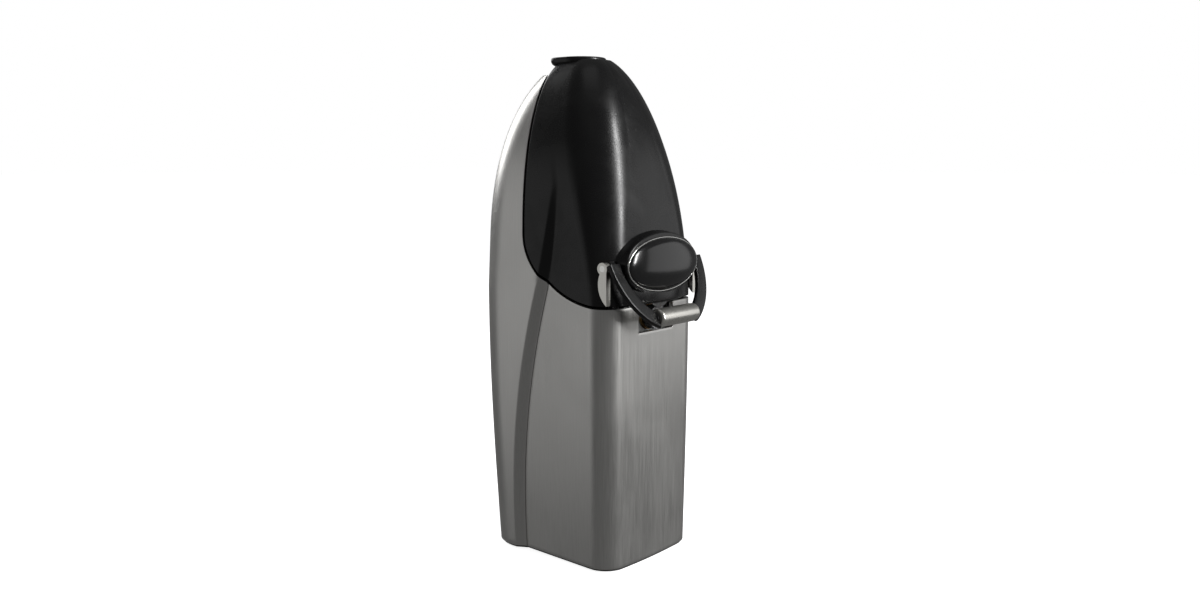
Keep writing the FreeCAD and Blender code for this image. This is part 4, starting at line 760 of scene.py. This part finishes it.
class OPENER_OT_cap(bpy.types.Operator):
    """The oval cap, half an ellipsoid on a short rim, and the thin bright ring round it"""
    bl_idname = "opener.cap"
    bl_label = "Cap and trim"

    def execute(self, context):
        h = head()
        angle = np.linspace(0, TURN, 200, endpoint=False)
        latitude = np.linspace(0, QUARTER, 34)
        share = np.concatenate([[1.0], np.cos(latitude[:-1])])[:, None]
        rise = np.concatenate([[0.0], h.cap_rim
                               + (h.cap_dome - h.cap_rim) * np.sin(latitude[:-1])])[:, None]
        x = h.cap_half_width * share * np.cos(angle)[None]
        z = h.level + h.cap_half_height * share * np.sin(angle)[None]
        ahead = np.broadcast_to(h.pad_front + rise, x.shape)
        cap = closed_tube("oval_cap", np.stack([x, -ahead, z], axis=-1))
        finished(cap, "lever", ["cap"], "gloss_black", edge=0)
        ring = np.linspace(0, TURN, 16, endpoint=False)
        half = h.trim / 2
        wide = h.cap_half_width + half + half * np.cos(ring)[:, None]
        tall = h.cap_half_height + half + half * np.cos(ring)[:, None]
        out = h.pad_front + h.cap_rim / 2 + 0.75 * h.trim * np.sin(ring)[:, None]
        x = wide * np.cos(angle)[None]
        z = h.level + tall * np.sin(angle)[None]
        points = np.stack([x, -np.broadcast_to(out, x.shape), z], axis=-1)
        trim = grid_object("cap_trim", np.concatenate([points, points[:1]]), wrap=True)
        weld(trim, outward=True)
        finished(trim, "lever", ["trim_ring"], "bright_steel", edge=0)
        return {"FINISHED"}


def hung(points):
    """Turn points drawn about the bail's pivot by its lean, and carry them there."""
    h = head()
    c, s = math.cos(-h.bail_lean), math.sin(-h.bail_lean)
    x, y, z = points[..., 0], points[..., 1], points[..., 2]
    return np.stack([x, y * c - z * s - h.bail_forward, y * s + z * c + h.bail_level], axis=-1)


def bail_arm(side):
    """One arm: a rounded flat section carried round the ring to its upright end."""
    h = head()
    around = np.linspace(0, TURN, 40, endpoint=False)
    middle = (h.bail_outer + h.bail_inner) / 2
    half_wide = (h.bail_outer - h.bail_inner) / 2
    half_thick = h.bail_thick / 2
    radius = middle + half_wide * np.sign(np.cos(around)) * np.abs(np.cos(around)) ** 0.28
    run = half_thick * np.sign(np.sin(around)) * np.abs(np.sin(around)) ** 0.45
    share = np.linspace(0, 1, 60)[:, None]
    inner_end = h.magnet_half + 0.05 * MM
    turn = share * np.arccos(inner_end / radius)[None]
    x = side * radius[None] * np.cos(turn)
    z = -radius[None] * np.sin(turn)
    y = np.broadcast_to(-h.bail_offset - half_thick + run[None], x.shape)
    return closed_tube("bail_arm", hung(np.stack([x, y, z], axis=-1)))


def lengthwise(name, profile, local):
    """A profile of (radius, x) revolved about a line along X through a point by the pivot."""
    angle = np.linspace(0, TURN, 72, endpoint=False)
    radius = np.array([p[0] for p in profile])[:, None]
    x = np.broadcast_to(np.array([p[1] for p in profile])[:, None], (len(profile), 72))
    y = local[0] + radius * np.cos(angle)[None]
    z = local[1] + radius * np.sin(angle)[None]
    return closed_tube(name, hung(np.stack([x, y, z], axis=-1)))


def rounded_bar(radius, start, stop, nose):
    """Profile of a round bar between two x, its ends rounded by a nose radius."""
    arc = np.linspace(0, QUARTER, 7)
    first = [(radius - nose + nose * math.sin(a), start + nose - nose * math.cos(a)) for a in arc]
    last = [(radius - nose + nose * math.cos(a), stop - nose + nose * math.sin(a)) for a in arc]
    return first + last


class OPENER_OT_bail(bpy.types.Operator):
    """The swinging bail with its knuckles and cross pin, and the bar magnet on it"""
    bl_idname = "opener.bail"
    bl_label = "Bail and magnet"

    def execute(self, context):
        h = head()
        magnet_line = (-h.bail_offset - h.bail_thick / 2, -h.magnet_reach)
        pieces = []
        for side in (-1, 1):
            pieces.append(bail_arm(side))
            ends = sorted((side * (h.bail_inner - 0.2 * MM), side * h.knuckle_reach))
            pieces.append(lengthwise("knuckle", rounded_bar(h.knuckle, *ends, 0.5 * MM), (0, 0)))
            web = np.array([[0, 0], [0, -h.knuckle], [-h.bail_offset - h.bail_thick * 0.9,
                            -h.knuckle], [-h.bail_offset - h.bail_thick * 0.9, 0]])
            loops = np.stack([np.concatenate([np.full((4, 1), x), web], axis=1) for x in ends])
            pieces.append(closed_tube("web", hung(loops)))
        reach_x = h.magnet_half + 1.2 * MM
        pieces.append(lengthwise("cross_pin", rounded_bar(h.cross_radius, -reach_x, reach_x,
                                                          0.3 * MM), magnet_line))
        made = joined("swing_bail", pieces)
        finished(made, "bail", ["bail"], "black_plastic", edge=0)
        magnet = lengthwise("bar_magnet", rounded_bar(h.magnet_radius, -h.magnet_half,
                                                      h.magnet_half, 1.2 * MM), magnet_line)
        finished(magnet, "bail", ["magnet"], "satin_silver", edge=0)
        return {"FINISHED"}


# --------------------------------------------------------------------- stage

FLOOR_HALF = 14.0
LIGHT_AIM = (0, 0, 0.13)
# Name, place, size and power of each soft light.
LIGHTS = (
    ("behind", (0.05, 1.15, 0.70), (0.5, 0.8), 6),
    ("left", (-1.15, 0.96, 0.10), (1.0, 1.0), 1.4),
    ("strip", (0.34, -1.05, 0.62), (0.16, 0.8), 18),
    ("right", (1.0, -0.75, 0.25), (0.6, 0.7), 1.2),
    ("top", (-0.1, -0.1, 1.3), (0.6, 0.6), 0.5),
)
WORLD_LIT, WORLD_SEEN = 0.15, 1.0
CAMERA_PLACE = (-0.429, -0.360, 0.200)
CAMERA_AIM = (0.003, -0.0036, 0.1278)
CAMERA_LENS = 32.96


def soft_light(name, place, size, power):
    """An area light turned towards the middle of the object."""
    lamp = bpy.data.lights.new(name, "AREA")
    lamp.shape = "RECTANGLE"
    lamp.size, lamp.size_y = size
    lamp.energy = power
    made = bpy.data.objects.new(name, lamp)
    made.location = place
    aim = Vector(LIGHT_AIM) - Vector(place)
    made.rotation_euler = aim.to_track_quat("-Z", "Y").to_euler()
    bpy.context.scene.collection.objects.link(made)


class OPENER_OT_stage(bpy.types.Operator):
    """The pale floor, the soft lights and the camera"""
    bl_idname = "opener.stage"
    bl_label = "Stage"

    def execute(self, context):
        scene = context.scene
        half = FLOOR_HALF
        ring = np.array([[[-half, -half, 0], [half, -half, 0]],
                         [[-half, half, 0], [half, half, 0]]], float)
        floor = grid_object("floor", ring)
        pale = bpy.data.materials.new("pale_floor")
        pale.use_nodes = True
        shader = pale.node_tree.nodes["Principled BSDF"]
        shader.inputs["Base Color"].default_value = (*finishes().floor, 1)
        shader.inputs["Roughness"].default_value = 0.7
        shader.inputs["Specular IOR Level"].default_value = 0.2
        shader.inputs["Emission Color"].default_value = (1, 1, 1, 1)
        shader.inputs["Emission Strength"].default_value = 0.88
        floor.data.materials.append(pale)
        floor.visible_glossy = False
        floor.visible_diffuse = False
        for light in LIGHTS:
            soft_light(*light)
        world = bpy.data.worlds.new("studio")
        scene.world = world
        world.use_nodes = True
        tree = world.node_tree
        back = tree.nodes["Background"]
        back.inputs["Color"].default_value = (1, 1, 1, 1)
        path = tree.nodes.new("ShaderNodeLightPath")
        level = tree.nodes.new("ShaderNodeMapRange")
        level.inputs["To Min"].default_value = WORLD_LIT
        level.inputs["To Max"].default_value = WORLD_SEEN
        tree.links.new(path.outputs["Is Camera Ray"], level.inputs["Value"])
        tree.links.new(level.outputs[0], back.inputs["Strength"])
        lens = bpy.data.cameras.new("camera")
        lens.sensor_width = 36
        lens.lens = CAMERA_LENS
        camera = bpy.data.objects.new("camera", lens)
        camera.location = CAMERA_PLACE
        aim = Vector(CAMERA_AIM)
        camera.rotation_euler = (aim - camera.location).to_track_quat("-Z", "Y").to_euler()
        scene.collection.objects.link(camera)
        scene.camera = camera
        scene.view_settings.view_transform = "Standard"
        return {"FINISHED"}


STEPS = ("finishes", "rear_shell", "front_shell", "lever", "cap", "bail", "stage")


class OPENER_PT_panel(bpy.types.Panel):
    """Lists the steps that build the can opener"""
    bl_idname = "OPENER_PT_panel"
    bl_label = "Can opener"
    bl_space_type = "VIEW_3D"
    bl_region_type = "UI"
    bl_category = "Can Opener"

    def draw(self, context):
        for step in STEPS:
            self.layout.operator(f"opener.{step}")


CLASSES = (OpenerShape, HeadShape, FinishSet, OPENER_OT_finishes, OPENER_OT_rear_shell,
           OPENER_OT_front_shell, OPENER_OT_lever, OPENER_OT_cap, OPENER_OT_bail,
           OPENER_OT_stage, OPENER_PT_panel)


def register():
    for item in CLASSES:
        bpy.utils.register_class(item)
    bpy.types.Scene.opener_shape = bpy.props.PointerProperty(type=OpenerShape)
    bpy.types.Scene.opener_head = bpy.props.PointerProperty(type=HeadShape)
    bpy.types.Scene.opener_finishes = bpy.props.PointerProperty(type=FinishSet)


def unregister():
    del bpy.types.Scene.opener_shape
    del bpy.types.Scene.opener_head
    del bpy.types.Scene.opener_finishes
    for item in reversed(CLASSES):
        bpy.utils.unregister_class(item)


def main():
    register()
    for step in STEPS:
        getattr(bpy.ops.opener, step)()


if __name__ == "__main__":
    main()
